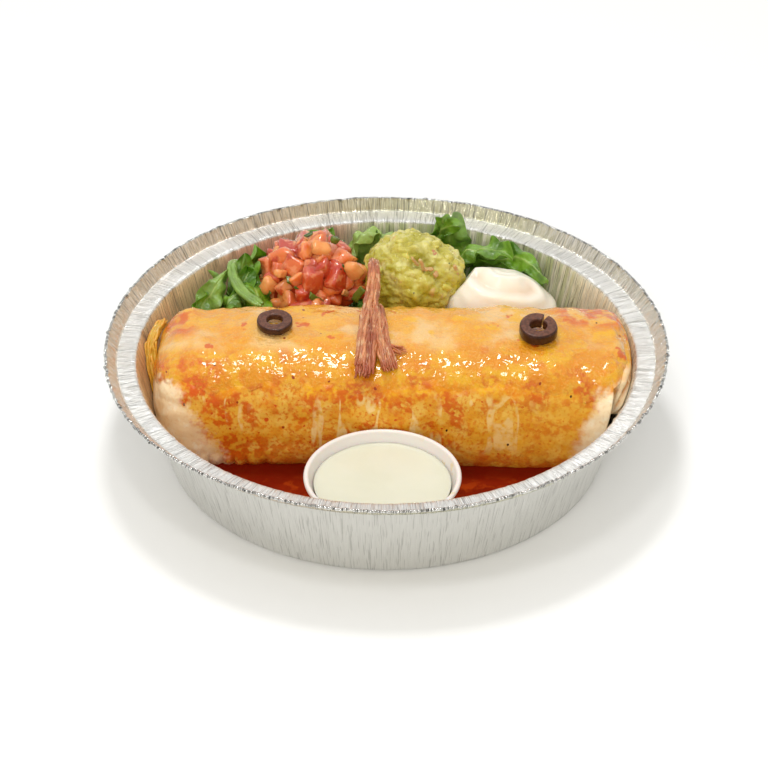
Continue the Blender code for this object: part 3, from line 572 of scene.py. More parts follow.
def foilFinish():
    f = Finish("aluminiumFoil", {"Metallic": 1.0})
    x, y, z = f.axes()
    streak = f.attribute("streak", "Vector")
    outside, flat, inner, collar = [f.attribute(name) for name in ("outside", "flat", "inner", "collar")]
    fine = f.patches(150, 0.42, 0.58, 2.0, streak)
    wide = f.patches(45, 0.35, 0.65, 3.0, streak)
    crease = f.patches(230, 0.585, 0.635, 1.0, streak)

    # painted reflection: the foods that the inner wall mirrors, put into its colour
    behindRed = f.times(f.ramp(x, -0.006, -0.026), f.ramp(x, -0.078, -0.060), f.ramp(y, 0.040, 0.060))
    behindGreen = f.times(f.ramp(x, -0.020, 0.000), f.ramp(x, 0.088, 0.070), f.ramp(y, 0.040, 0.060))
    paintedWallReflection = f.coats(f.mix(f.ramp(x, -0.080, -0.030), (1.0, 0.68, 0.34), (1.0, 0.94, 0.74)),
                   (f.times(behindRed, 0.85), (0.86, 0.36, 0.20)),
                   (f.times(behindGreen, f.patches(40, 0.38, 0.60, 3.0, streak), 0.85), (0.52, 0.60, 0.22)))
    # painted reflection on the collar: warm on the left, olive in the middle, pale on the right
    collarPaintedReflection = f.mix(f.ramp(x, -0.050, 0.010), (0.95, 0.78, 0.60), (0.90, 0.88, 0.62))
    collarPaintedReflection = f.mix(f.ramp(x, 0.050, 0.085), collarPaintedReflection, (0.96, 0.91, 0.82))

    # painted shade: dark lines in the creases of the foil and in the folds of its rim bead
    bent = f.maths("ADD", f.maths("ADD", flat, collar), f.times(inner, 0.7))
    creasePaintedShade = f.times(crease, f.maths("SUBTRACT", f.ramp(outside, 0, 1, 0.78, 0.30), f.times(bent, 0.34)))
    beadFoldPaintedShade = f.times(f.attribute("bead"), f.patches(260, 0.52, 0.56, 2.0, streak), 0.85)
    f.set("Base Color", f.coats(
        f.mix(f.times(fine, 0.35), (0.93, 0.925, 0.91), (0.72, 0.715, 0.70)),
        (f.times(flat, 0.8), (0.96, 0.95, 0.92)),
        (f.times(inner, 0.85), paintedWallReflection),
        # painted shade: the outer wall is darker, standing in for the shaded floor that it mirrors
        (f.times(outside, 0.7), (0.70, 0.70, 0.67)),
        (f.times(collar, 0.75), collarPaintedReflection),
        (creasePaintedShade, (0.16, 0.155, 0.14)),
        (beadFoldPaintedShade, (0.05, 0.05, 0.045))))
    f.set("Metallic", f.ramp(inner, 0, 1, 1.0, 0.35))
    rough = f.ramp(f.maths("ADD", f.times(fine, 0.5), f.times(wide, 0.5)), 0, 1, 0.07, 0.20)
    rough = f.maths("ADD", rough, f.times(outside, 0.24))
    f.set("Roughness", f.maths("ADD", rough, f.times(flat, 0.24)))
    bump = f.add("ShaderNodeBump", None, {
        "Strength": f.ramp(outside, 0, 1, 1.0, 0.30), "Distance": 0.0017,
        "Height": f.grain(170.0, 3.0, streak)})
    f.set("Normal", bump.outputs[0])
    return f.material


# burrito: the tortilla, its folded end, and the cheese that follows it

burritoSizes = {
    "left": -0.0962, "right": 0.1016, "wrapEnd": 0.0895, "leftCap": 0.020, "flapCap": 0.009,
    "shoulder": 0.030, "shoulderDrop": 0.0022, "leftDrop": 0.0022, "edgeCurve": 0.20, "tuckFullness": 0.94,
    "topPower": 2.5, "bottomPower": 4.0, "frontSpread": 0.0020,
    "body": (0.001, 0.0275, 0.0330, 0.0345, 0.0255, 0.0266),  # centre y and z, front, back, top, bottom
    "flap": (0.005, 0.0350, 0.0190, 0.0220, 0.0140, 0.0160),
    "bumps": 0.0007, "stations": 400, "sides": 190,
}


def burritoPoint(x, angle, wrap):
    # wrap is 1 on the outer tortilla and 0 on the tucked end
    s = burritoSizes
    body, flap = s["body"], s["flap"]
    centreY, centreZ, front, back, top, bottom = [f + (b - f) * wrap for f, b in zip(flap, body)]
    top = top - s["shoulderDrop"] * smoothStep(x, s["wrapEnd"] - s["shoulder"], s["wrapEnd"]) * wrap
    top = top - s["leftDrop"] * smoothStep(-x, 0.045, 0.085)
    front = front + s["frontSpread"] * np.sin(x / s["right"] * math.pi / 2) * wrap
    size = bluntEnd(x - s["left"], s["leftCap"])
    size = size * np.where(wrap < 1, bluntEnd(s["right"] - x, s["flapCap"]), 1.0)
    c, n = np.cos(angle), np.sin(angle)
    power = np.where(n >= 0, s["topPower"], s["bottomPower"])
    y = centreY + np.sign(c) * np.abs(c) ** (2 / power) * np.where(c >= 0, back, front) * size
    z = centreZ + np.sign(n) * np.abs(n) ** (2 / power) * np.where(n >= 0, top, bottom) * size
    return np.stack([x + 0 * y, y, z], -1)


def tuckFill(angle):
    # how far the folded end fills the outer tortilla's outline: nearly at the top, less in front, not below
    ahead = smoothStep(-np.cos(angle), 0.58, 0.96)
    return burritoSizes["tuckFullness"] * (1 - 0.42 * ahead) * smoothStep(np.sin(angle), -0.55, -0.10)


def burritoNormal(x, angle, wrap):
    along = burritoPoint(x + 0.0005, angle, wrap) - burritoPoint(x - 0.0005, angle, wrap)
    around = burritoPoint(x, angle + 0.02, wrap) - burritoPoint(x, angle - 0.02, wrap)
    normal = np.cross(around, along)
    return normal / np.maximum(np.linalg.norm(normal, axis=-1, keepdims=True), 1e-12)


def burritoSkin(x, angle, wrap, lift=0.0):
    # the tortilla with its bumps, lifted by a distance
    point, normal = burritoPoint(x, angle, wrap), burritoNormal(x, angle, wrap)
    bump = burritoSizes["bumps"] * lumps(point, 55) * smoothStep(point[..., 2], 0.004, 0.015)
    return point + normal * (bump + lift)[..., None]


def tortillaFinish(name, folded=False):
    f = Finish(name, {"Specular IOR Level": 0.22, "Subsurface Weight": 0.05, "Subsurface Scale": 0.002,
                      "Subsurface Radius": (1.0, 0.5, 0.2)})
    cover = 1.0
    if folded:  # the pleats stay mostly bare
        x, y, z = f.axes()
        cover = f.maths("MAXIMUM", f.ramp(f.linear(y, 0.68, z), 0.0330, 0.0400),
                        f.ramp(x, 0.0975, 0.0930, 0.35, 1.0))
    glaze = f.add("ShaderNodeGroup", {"node_tree": glazeGroup}, {"Vector": f.place, "Cover": cover}).outputs
    colour = glaze["Color"]
    if folded:
        stain = f.times(f.attribute("valley"), f.patches(260, 0.30, 0.52, 4.0))
        colour = f.mix(stain, colour, (0.68, 0.25, 0.025))
    f.set("Base Color", colour)
    wet = f.times(glaze["Wet"], f.patches(230, 0.30, 0.56, 4.0))
    f.set("Roughness", f.ramp(wet, 0, 1, 0.56, 0.24))
    f.relief(420, 0.50, 0.0006, 5.0)
    return f.material


def makeTortilla():
    s = burritoSizes
    rows = [(s["left"] + s["leftCap"] * t * t, 1.0) for t in np.linspace(0.06, 1, 46)]
    rows += [(x, 1.0) for x in np.linspace(s["left"] + s["leftCap"], s["wrapEnd"] - 0.0008,
                                           s["stations"] - 60)[1:]]
    rows += [(s["wrapEnd"] - 0.0001, 0.997), (s["wrapEnd"] + 0.0004, 0.988), (s["wrapEnd"] + 0.0004, 0.972),
             (s["wrapEnd"] - 0.0002, 0.958), (s["wrapEnd"] - 0.0015, 0.950), (s["wrapEnd"] - 0.0050, 0.935)]
    x = np.array([r[0] for r in rows])[:, None]
    shrink = np.array([r[1] for r in rows])[:, None, None]
    angle = (np.arange(s["sides"]) / s["sides"] * 2 * math.pi)[None, :]
    wrap = np.ones_like(x + angle)
    skin = burritoSkin(x + 0 * angle, angle + 0 * x, wrap)
    normal = burritoNormal(x + 0 * angle, angle + 0 * x, wrap)
    high = smoothStep(skin[..., 2], 0.002, 0.010)
    crease = 1 - np.abs(lumps(skin * [0.35, 1, 1], 90, 7.3)) * 2.2
    finer = 0.00022 * lumps(skin, 330, 3.1) + 0.0005 * lumps(skin, 110, 9.7)
    ripple = np.sin(skin[..., 2] * 420 + 6 * lumps(skin, 60))
    endFold = smoothStep(skin[..., 0], -0.070, -0.090) * 0.00022 * ripple
    hem = smoothStep(skin[..., 2], 0.0150, 0.0100) * smoothStep(skin[..., 0], -0.036, -0.050)
    lengthwise = skin * [1, 0, 0]
    scallops = np.abs(np.cos(skin[..., 0] * 540 + 3.0 * lumps(lengthwise, 60))) ** 0.8
    hem = hem * 0.0015 * scallops * (0.8 + 1.0 * lumps(lengthwise, 130, 4.0))
    inside = smoothStep(skin[..., 2], 0.050, 0.044)
    skin = skin + normal * ((finer - 0.0004 * np.clip(crease, 0, 1) + endFold + hem) * high
                            - 0.0002 * (1 - inside))[..., None]
    middle = np.array([0, s["body"][0], s["body"][1]])
    centred = skin - middle
    skin = np.concatenate([skin[..., :1], (centred * shrink)[..., 1:] + middle[1:]], -1)
    rise = np.minimum(skin[..., 2], 0.042) - 0.032
    skin[..., 0] += s["edgeCurve"] * rise * smoothStep(x, 0.060, s["wrapEnd"])
    skin = keepInPan(skin)
    skin[..., 2] = np.maximum(skin[..., 2], 0.0008)
    count = len(rows) * s["sides"]
    poles = [[s["left"] + 0.00005, s["body"][0], s["body"][1]],
             [s["wrapEnd"] - 0.0055, s["body"][0], s["body"][1]]]
    piece = addPiece("tortillaWrap", np.vstack([skin.reshape(-1, 3), poles]),
                     ringFaces(len(rows), s["sides"], count, count + 1), tortillaFinish("glazedTortilla"))
    return place(outwards(piece), "flour_tortilla", "burrito")


def makeFlap():
    # the folded end, with pleats that fan out from its lower corner
    s = burritoSizes
    rows, sides = 80, 220
    x = np.linspace(s["wrapEnd"] - 0.0075, s["right"] - 0.00004, rows)[:, None]
    x = s["right"] - (s["right"] - x) ** 1.25 / (s["right"] - x[0]) ** 0.25
    angle = (np.arange(sides) / sides * 2 * math.pi)[None, :]
    x, angle = x + 0 * angle, angle + 0 * x
    full = tuckFill(angle)
    point, normal = burritoPoint(x, angle, full), burritoNormal(x, angle, full)
    fan = np.arctan2(point[..., 2] - 0.028, np.maximum(point[..., 0] - 0.0885, 0.0004))
    wave = np.sin(fan * 19 + 2.2 * lumps(point, 70, 2.0))
    shown = smoothStep(x, 0.0905, 0.0950) * smoothStep(point[..., 1], 0.016, 0.002)
    shown = shown * smoothStep(point[..., 2], 0.0500, 0.0450)
    wave = np.abs(wave) ** 0.75 * np.sign(wave) * shown
    point = point + normal * (0.0009 * wave + 0.0003 * lumps(point, 260))[..., None]
    hemLine = 0.0305 + 0.0012 * lumps(point, 90, 5.0)
    under = smoothStep(point[..., 2], hemLine + 0.0003, hemLine - 0.0005)
    under = under * smoothStep(x, s["wrapEnd"] - 0.004, s["wrapEnd"])
    point[..., 0] -= 0.0060 * under
    point[..., 1] = point[..., 1] * (1 - 0.18 * under) + 0.005 * 0.18 * under
    point = keepInPan(point)
    ends = [[s["wrapEnd"] - 0.0078, 0.005, 0.035], list(keepInPan([s["right"], 0.005, 0.035]))]
    count = rows * sides
    valley = np.clip(-wave, 0, 1).ravel() * 0.8
    piece = addPiece("tortillaFlap", np.vstack([point.reshape(-1, 3), ends]),
                     ringFaces(rows, sides, count, count + 1), tortillaFinish("foldedTortilla", True),
                     {"valley": np.concatenate([valley, [0, 0]])})
    return place(outwards(piece), "flour_tortilla")


cheeseSizes = {
    "left": -0.0952, "right": 0.0990, "backEdge": 38, "frontEdge": 147, "drip": 10, "thickness": 0.00125,
    "lift": 0.00030, "stations": 405, "strips": 114,
    "peaks": [((-0.0835, 0.020, 0.047), 0.0060, 0.0026), ((-0.036, 0.022, 0.049), 0.0040, 0.0012),
              ((0.074, 0.020, 0.049), 0.0060, 0.0010)],
}


def cheeseFinish():
    f = Finish("meltedCheddar", {"Subsurface Weight": 0.05, "Subsurface Scale": 0.002,
                                 "Subsurface Radius": (1.0, 0.45, 0.1),
                                 "Specular IOR Level": 0.15, "Coat Weight": 0.8, "Coat Roughness": 0.04})
    glaze = f.add("ShaderNodeGroup", {"node_tree": glazeGroup}, {"Vector": f.place, "Cover": 1.0}).outputs
    f.set("Base Color", glaze["Color"])
    f.set("Roughness", f.ramp(f.patches(160, 0.3, 0.7, 3.0), 0, 1, 0.14, 0.30))
    f.relief(900, 1.0, 0.00056, 3.0)
    return f.material


def makeCheese():
    s, b = cheeseSizes, burritoSizes
    x = np.linspace(0, 1, s["stations"])
    x = (s["left"] + (s["right"] - s["left"]) * (x - 0.035 * np.sin(2 * math.pi * x)))[:, None]

    def along(scale, first, second):
        # noise that changes only lengthwise
        return np.array([noise.noise(Vector((v * scale, first, second))) for v in x[:, 0]])[:, None]

    wave = along(85, 0.3, 0) + 0.6 * along(230, 4.0, 0)
    hang = np.maximum(along(120, 9.0, 2.0), 0)
    ends = smoothStep(x, 0.0870, s["right"])
    front = np.radians(s["frontEdge"] + s["drip"] * wave + 14 * hang - 24 * ends)
    back = np.radians(s["backEdge"] + 12 * along(100, 7.0, 5.0) + 6 * ends)
    share = np.linspace(0, 1, s["strips"])[None, :]
    angle = back + (front - back) * share
    x = x + 0 * share
    wrap = 1 - (1 - tuckFill(angle)) * smoothStep(x, 0.0917, 0.0965)
    base = burritoPoint(x, angle, wrap)
    edge = np.minimum(smoothStep(share, 0, 0.16), smoothStep(1 - share, 0, 0.30))
    torn = 0.0035 * lumps(base, 190, 3.0) + 0.0015 * lumps(base, 500, 1.0)
    edge = edge * smoothStep(x, s["left"], s["left"] + 0.005)
    edge = edge * smoothStep(s["right"] - x + torn, 0.001, 0.009)
    thick = 0.72 + 0.55 * lumps(base, 75, 1.7) + 0.34 * lumps(base, 210, 5.2)
    thick = thick + 0.24 * np.abs(lumps(base * [1.0, 0.8, 0.8], 460, 8.8))
    thick = thick + 0.14 * lumps(base * [0.7, 1, 1], 820, 2.2)
    thick = np.clip(thick, 0.25, 2.0) * s["thickness"] * (0.30 + 0.70 * edge)
    upper = burritoSkin(x, angle, wrap, s["lift"] + thick - 0.0011 * (1 - edge) ** 2)
    lower = burritoSkin(x, angle, wrap, np.full_like(x, -0.0016))
    ridge = np.clip(lumps(base * [1.0, 0.6, 0.6], 105, 6.0), 0, 1)
    upper[..., 2] += 0.0016 * ridge * smoothStep(upper[..., 1], 0.004, 0.016)
    for spot, radius, rise in s["peaks"]:
        near = np.exp(-(np.linalg.norm(upper - np.array(spot), axis=-1) / radius) ** 2)
        upper[..., 2] += rise * near
    points = keepInPan(np.stack([upper, lower]), 0.0004)
    cheese = addPiece("meltedCheese", points.reshape(-1, 3), sheetFaces(s["stations"], s["strips"]),
                      cheeseFinish())
    return place(outwards(cheese), "melted_cheddar", "melted_cheese")


# black olive slices

oliveSizes = {
    "left": {"node": "olive_ring_left", "middle": 0.0053, "half": 0.0021, "slit": None, "seed": 3},
    "right": {"node": "olive_ring_right", "middle": 0.0056, "half": 0.0023, "slit": 62, "seed": 8},
    "turns": 120, "sides": 36,
}


def oliveFinish():
    f = Finish("blackOlive", {"Specular IOR Level": 0.35, "Subsurface Weight": 0.1,
                              "Subsurface Scale": 0.001})
    flesh = f.mix(f.patches(900, 0.40, 0.60, 4.0), (0.150, 0.055, 0.030), (0.085, 0.028, 0.015))
    skin = f.mix(f.patches(350, 0.4, 0.6), (0.032, 0.009, 0.005), (0.055, 0.016, 0.008))
    f.set("Base Color", f.mix(f.attribute("skin"), flesh, skin))
    f.set("Roughness", f.ramp(f.attribute("skin"), 0, 1, 0.36, 0.18))
    f.relief(1300, 0.35, 0.0004, 4.0)
    return f.material


def makeOlive(name, sizes, finish):
    # follows the middle plane of the CAD ring, measured from its own mesh
    node = frame["nodes"][sizes["node"]]
    cloud = np.array([v.co for v in node.data.vertices])
    middle = (cloud.max(0) + cloud.min(0)) / 2
    spread = np.linalg.svd(cloud - cloud.mean(0), full_matrices=False)[2]
    normal = spread[2] * np.sign(spread[2][2])
    sideways = np.cross([0, 1, 0], normal)
    sideways = sideways / np.linalg.norm(sideways)
    ahead = np.cross(normal, sideways)
    height = np.abs((cloud - middle) @ normal).max()
    turns, sides = oliveSizes["turns"], oliveSizes["sides"]
    closed = sizes["slit"] is None
    gap = math.radians(8)
    slit = math.radians(sizes["slit"] or 0)
    if closed:
        turn = np.linspace(0, 2 * math.pi, turns, endpoint=False)
    else:
        turn = np.linspace(slit + gap, slit + 2 * math.pi - gap, turns)
    phi = np.linspace(0, 2 * math.pi, sides, endpoint=False)
    rows, skins = [], []
    for a in turn:
        wobble = noise.noise(Vector((math.cos(a) * 1.3, math.sin(a) * 1.3, sizes["seed"])))
        tall = height * (0.97 + 0.06 * wobble)
        wide = sizes["half"] * (1 + 0.14 * wobble)
        c, n = np.cos(phi), np.sin(phi)
        r = sizes["middle"] * (1 + 0.035 * wobble) + wide * np.sign(c) * np.abs(c) ** 0.5
        h = tall * np.sign(n) * np.abs(n) ** 0.38
        rows.append(middle + np.outer(r * math.cos(a), sideways) + np.outer(r * math.sin(a), ahead)
                    + np.outer(h, normal))
        skins.append(np.where(c > 0.05, 1.0, np.where(c < -0.3, 0.5, 0.0))
                     * np.where(np.abs(h) < tall * 0.93, 1, 0))
    points = np.concatenate(rows)
    if closed:
        last = (turns - 1) * sides
        faces = ringFaces(turns, sides)
        faces += [(last + i, last + (i + 1) % sides, (i + 1) % sides, i) for i in range(sides)]
        skin = np.concatenate(skins)
    else:
        count = turns * sides
        points = np.vstack([points, rows[0].mean(0), rows[-1].mean(0)])
        faces = ringFaces(turns, sides, count, count + 1)
        skin = np.concatenate([np.concatenate(skins), [0, 0]])
    piece = addPiece(name, points, faces, finish, {"skin": skin})
    return place(outwards(piece), "black_olive", sizes["node"])


# geometry node trees: strands along a path, and bits strewn over a surface

def strandTree():
    # copies of a path, spread sideways, roughened and given a round section
    tree, given, result = groupTree("strandsAlongPath", "GeometryNodeTree", {
        "Geometry": "NodeSocketGeometry", "Strands": 20, "Spread": 0.002, "Flatness": 0.6, "Radius": 0.0004,
        "Roughness": 0.0005, "Seed": 1, "Finish": "NodeSocketMaterial"}, {"Geometry": "NodeSocketGeometry"})
    k = NodeKit(tree)
    copies = k.add("GeometryNodeDuplicateElements", {"domain": "SPLINE"}, {
        "Geometry": given["Geometry"], "Amount": given["Strands"]})
    kept = k.add("GeometryNodeStoreNamedAttribute", {"data_type": "FLOAT", "domain": "CURVE"}, {
        "Geometry": copies.outputs["Geometry"], "Name": "strand",
        "Value": k.product(copies.outputs["Duplicate Index"], 1.0)})
    number = k.add("GeometryNodeInputNamedAttribute", {"data_type": "FLOAT"}, {"Name": "strand"}).outputs[0]
    across = k.add("FunctionNodeRandomValue", {"data_type": "FLOAT_VECTOR"}, {
        "Min": (-1, -1, -1), "Max": (1, 1, 1), "ID": number, "Seed": given["Seed"]}).outputs[0]
    along = k.add("GeometryNodeSplineParameter").outputs["Factor"]

    # each strand wavers on its own
    where = k.vectors("MULTIPLY_ADD", across, (9.0, 9.0, 9.0), k.add("GeometryNodeInputPosition").outputs[0])
    waver = k.add("ShaderNodeTexNoise", None, {"Vector": where, "Scale": 105.0, "Detail": 1.0}).outputs[1]
    rough = k.scaled(k.vectors("SUBTRACT", waver, (0.5, 0.5, 0.5)), given["Roughness"])

    # sideways and upwards from the path, wider towards its end
    tangent = k.add("GeometryNodeInputTangent").outputs[0]
    side = k.vectors("NORMALIZE", k.vectors("CROSS_PRODUCT", tangent, (0, 0, 1)))
    up = k.vectors("CROSS_PRODUCT", side, tangent)
    parts = k.add("ShaderNodeSeparateXYZ", None, {0: across}).outputs
    width = k.product(given["Spread"], k.straight(along, 0.0, 1.0, 0.72, 1.75))
    height = k.product(given["Spread"], given["Flatness"])
    first = k.scaled(side, k.product(parts[0], width))
    second = k.scaled(up, k.product(parts[1], height))
    trimmed = k.add("GeometryNodeTrimCurve", {"mode": "FACTOR"}, {
        0: kept.outputs[0], 2: k.chance(0.0, 0.05, 31, number), 3: k.chance(0.90, 1.0, 32, number)})
    moved = k.add("GeometryNodeSetPosition", None, {
        "Geometry": trimmed.outputs[0], "Offset": k.vectors("ADD", k.vectors("ADD", first, second), rough)})

    # thinner at both ends
    ends = k.product(k.straight(along, 0.93, 1.0, 1.0, 0.50), k.straight(along, 0.0, 0.05, 0.3, 1.0))
    size = k.product(ends, k.chance(0.6, 1.5, 5, number))
    thick = k.product(size, given["Radius"])
    ring = k.add("GeometryNodeCurvePrimitiveCircle", {"mode": "RADIUS"}, {"Resolution": 7, "Radius": 1.0})
    tube = k.add("GeometryNodeCurveToMesh", None, {
        "Curve": moved.outputs[0], "Profile Curve": ring.outputs[0], "Scale": thick, "Fill Caps": True})
    closeTree(k, tube, given, result)
    return tree


def closeTree(k, last, given, result):
    # real geometry with its finish goes out
    real = k.add("GeometryNodeRealizeInstances", None, {"Geometry": last.outputs[0]})
    done = k.add("GeometryNodeSetMaterial", None, {"Geometry": real.outputs[0], "Material": given["Finish"]})
    k.tree.links.new(done.outputs[0], result[0])


def strewTree():
    # bits from a collection on a surface, turned at random and sunk in a little
    tree, given, result = groupTree("bitsOverSurface", "GeometryNodeTree", {
        "Geometry": "NodeSocketGeometry", "Bits": "NodeSocketCollection", "Spacing": 0.006,
        "Density": 40000.0,
        "Sink": 0.001, "Smallest": 0.8, "Largest": 1.15, "Tilt": 0.5, "Seed": 1,
        "Finish": "NodeSocketMaterial"},
        {"Geometry": "NodeSocketGeometry"})
    k = NodeKit(tree)
    facing = k.add("ShaderNodeSeparateXYZ", None, {0: k.add("GeometryNodeInputNormal").outputs[0]}).outputs[2]
    spots = k.add("GeometryNodeDistributePointsOnFaces", {"distribute_method": "POISSON"}, {
        "Mesh": given["Geometry"], "Distance Min": given["Spacing"], "Density Max": given["Density"],
        "Seed": given["Seed"], "Selection": k.maths("GREATER_THAN", facing, -0.25, clamp=False)})
    inward = k.scaled(spots.outputs["Normal"], k.product(given["Sink"], -1.0))
    sunk = k.add("GeometryNodeSetPosition", None, {"Geometry": spots.outputs["Points"], "Offset": inward})
    bits = k.add("GeometryNodeCollectionInfo", None, {
        "Collection": given["Bits"], "Separate Children": True, "Reset Children": True})
    spin = k.add("FunctionNodeRandomValue", {"data_type": "FLOAT_VECTOR"}, {
        "Min": (-1, -1, -6), "Max": (1, 1, 6), "Seed": 21}).outputs[0]
    lean = k.add("ShaderNodeCombineXYZ", None, {0: given["Tilt"], 1: given["Tilt"], 2: 1.0}).outputs[0]
    asTurn = k.add("FunctionNodeEulerToRotation", None, {0: k.vectors("MULTIPLY", spin, lean)})
    turned = k.add("FunctionNodeRotateRotation", {"rotation_space": "LOCAL"}, {
        0: spots.outputs["Rotation"], 1: asTurn.outputs[0]})
    pick = k.add("FunctionNodeRandomValue", {"data_type": "INT"}, {4: 0, 5: 50, "Seed": 4})
    laid = k.add("GeometryNodeInstanceOnPoints", None, {
        "Points": sunk.outputs[0], "Instance": bits.outputs[0], "Pick Instance": True,
        "Instance Index": pick.outputs[2], "Rotation": turned.outputs[0],
        "Scale": k.chance(given["Smallest"], given["Largest"], 9)})
    tinted = k.add("GeometryNodeStoreNamedAttribute", {"data_type": "FLOAT", "domain": "INSTANCE"}, {
        "Geometry": laid.outputs[0], "Name": "tint", "Value": k.chance(0.0, 1.0, 17)})
    closeTree(k, tinted, given, result)
    return tree


def growMesh(source, tree, values):
    # runs a tree on an object and returns the plain mesh that it makes
    modifier = source.modifiers.new(tree.name, "NODES")
    modifier.node_group = tree
    for item in tree.interface.items_tree:
        if item.in_out == "INPUT" and item.name in values:
            modifier[item.identifier] = values[item.name]
    graph = bpy.context.evaluated_depsgraph_get()
    mesh = bpy.data.meshes.new_from_object(source.evaluated_get(graph), preserve_all_data_layers=True,
                                           depsgraph=graph)
    source.modifiers.clear()
    return mesh


strands, strew = strandTree(), strewTree()


# shredded beef

beefSizes = {
    "long": {"node": "beef_shred_long", "strands": 84, "spread": 0.0022, "flatness": 0.62, "radius": 0.00056,
             "rough": 0.0028, "seed": 2},
    "short": {"node": "beef_shred_short", "strands": 64, "spread": 0.0017, "flatness": 0.62,
              "radius": 0.00050, "rough": 0.0030, "seed": 6},
    "fray": {"strands": 6, "spread": 0.0016, "flatness": 0.5, "radius": 0.00032, "rough": 0.0042, "seed": 9},
    "swayLong": 0.0004, "shiftLong": -0.0005, "swayShort": 0.0005, "shiftShort": -0.0023, "leanShort": 0.0012,
    "frayFrom": -13, "frayStep": (0.0010, -0.0004), "frayLift": 0.0008, "frayFall": 0.00016,
}
stringSizes = {
    "strands": 30, "spread": 0.0014, "flatness": 0.8, "radius": 0.00055, "rough": 0.0056, "seed": 4,
    "path": [(-0.0920, 0.0240, 0.0440), (-0.0955, 0.0180, 0.0425), (-0.0975, 0.0120, 0.0390),
             (-0.0968, 0.0060, 0.0320), (-0.0950, 0.0010, 0.0240), (-0.0915, -0.0050, 0.0170)],
}


def beefFinish():
    f = Finish("shreddedBeef", {"Roughness": 0.36, "Coat Weight": 0.2, "Coat Roughness": 0.15,
                                "Subsurface Weight": 0.2, "Subsurface Scale": 0.0015,
                                "Subsurface Radius": (1.0, 0.35, 0.2)})
    number = f.product(f.attribute("strand"), 0.618)
    chance = f.add("ShaderNodeMath", {"operation": "FRACT"}, {0: number}).outputs[0]
    x, y, z = f.axes()
    bothEnds = f.maths("MAXIMUM", f.ramp(y, -0.0170, -0.0230), f.ramp(y, 0.0340, 0.0400))
    f.set("Base Color", f.coats(
        f.mix(chance, (0.46, 0.130, 0.042), (0.72, 0.300, 0.125)),
        # painted shade in the grooves between the fibres, as dark streaks along them
        (f.patches(230, 0.50, 0.66, 4.0, f.stretched((1.0, 0.3, 0.3))), (0.30, 0.070, 0.022)),
        (f.times(f.patches(170, 0.48, 0.62, 5.0), 0.55), (0.36, 0.075, 0.024)),
        (f.times(bothEnds, f.patches(260, 0.30, 0.60, 3.0), 0.75), (0.36, 0.065, 0.020)),
        # painted highlights, as pale streaks along the fibres
        (f.times(f.patches(520, 0.58, 0.68, 3.0, f.stretched((1.0, 0.35, 0.35))), 0.7), (0.74, 0.42, 0.22))))
    f.relief(1400, 0.5, 0.0004, 4.0)
    return f.material


def strandPath(node, count):
    # middle line of a CAD strand, from its own mesh, by slices across its length
    cloud = np.array([v.co for v in frame["nodes"][node].data.vertices])
    order = np.linspace(cloud[:, 1].max() - 0.0006, cloud[:, 1].min() + 0.0006, count)
    line = []
    for y in order:
        near = cloud[np.argsort(np.abs(cloud[:, 1] - y))[:16]]
        line.append((near.max(0) + near.min(0)) / 2 * [1, 0, 1] + np.array([0, y, 0]))
    line = np.array(line)
    for _ in range(40):
        line[1:-1] = 0.25 * line[:-2] + 0.5 * line[1:-1] + 0.25 * line[2:]
    return line


def smoothPath(points, count):
    # an even curve through a few places
    points = np.array(points, float)
    t = np.linspace(0, len(points) - 1, count)
    line = np.stack([np.interp(t, range(len(points)), points[:, i]) for i in range(3)], -1)
    for _ in range(12):
        line[1:-1] = 0.25 * line[:-2] + 0.5 * line[1:-1] + 0.25 * line[2:]
    return line


def strandObject(name, line):
    curve = bpy.data.curves.new(name, "CURVE")
    curve.dimensions = "3D"
    spline = curve.splines.new("POLY")
    spline.points.add(len(line) - 1)
    for p, co in zip(spline.points, line):
        p.co = (*co, 1.0)
    made = bpy.data.objects.new(name, curve)
    bpy.context.scene.collection.objects.link(made)
    return made


def makeStrands(name, s, line, finish, slotName, *nodes):
    source = strandObject(name + "Path", line)
    mesh = growMesh(source, strands, {
        "Strands": s["strands"], "Spread": s["spread"], "Flatness": s["flatness"], "Radius": s["radius"],
        "Roughness": s["rough"], "Seed": s["seed"], "Finish": finish})
    bpy.data.objects.remove(source)
    mesh.vertices.foreach_set("co", keepInPan([v.co for v in mesh.vertices], 0.0003).ravel())
    mesh.shade_smooth()
    return place(outwards(pieceFromMesh(name, mesh, finish)), slotName, *nodes)


def makeBeef():
    s, finish = beefSizes, beefFinish()
    long, short = strandPath(s["long"]["node"], 60), strandPath(s["short"]["node"], 50)
    long[:, 0] += s["swayLong"] * np.sin(np.linspace(0, 8, 60)) + s["shiftLong"]
    short[:, 0] += s["swayShort"] * np.sin(np.linspace(1, 7, 50))
    makeStrands("beefLong", s["long"], long, finish, "shredded_beef", s["long"]["node"])
    short[:, 0] += s["shiftShort"] - s["leanShort"] * (1 - np.linspace(0, 1, 50)) ** 1.5
    makeStrands("beefShort", s["short"], short, finish, "shredded_beef", s["short"]["node"])
    aside, ahead = s["frayStep"]
    fray = [short[s["frayFrom"]] + [aside * (k + 1), ahead * k, s["frayLift"] - s["frayFall"] * abs(k - 3)]
            for k in range(8)]
    makeStrands("beefFray", s["fray"], np.array(fray), finish, "shredded_beef")


def makeCheeseStrings():
    finish = plainFoodFinish("cheeseString", (0.72, 0.37, 0.045), (0.62, 0.27, 0.020), 0.25)
    makeStrands("cheeseStrings", stringSizes, smoothPath(stringSizes["path"], 60), finish, "melted_cheddar")


# scoops

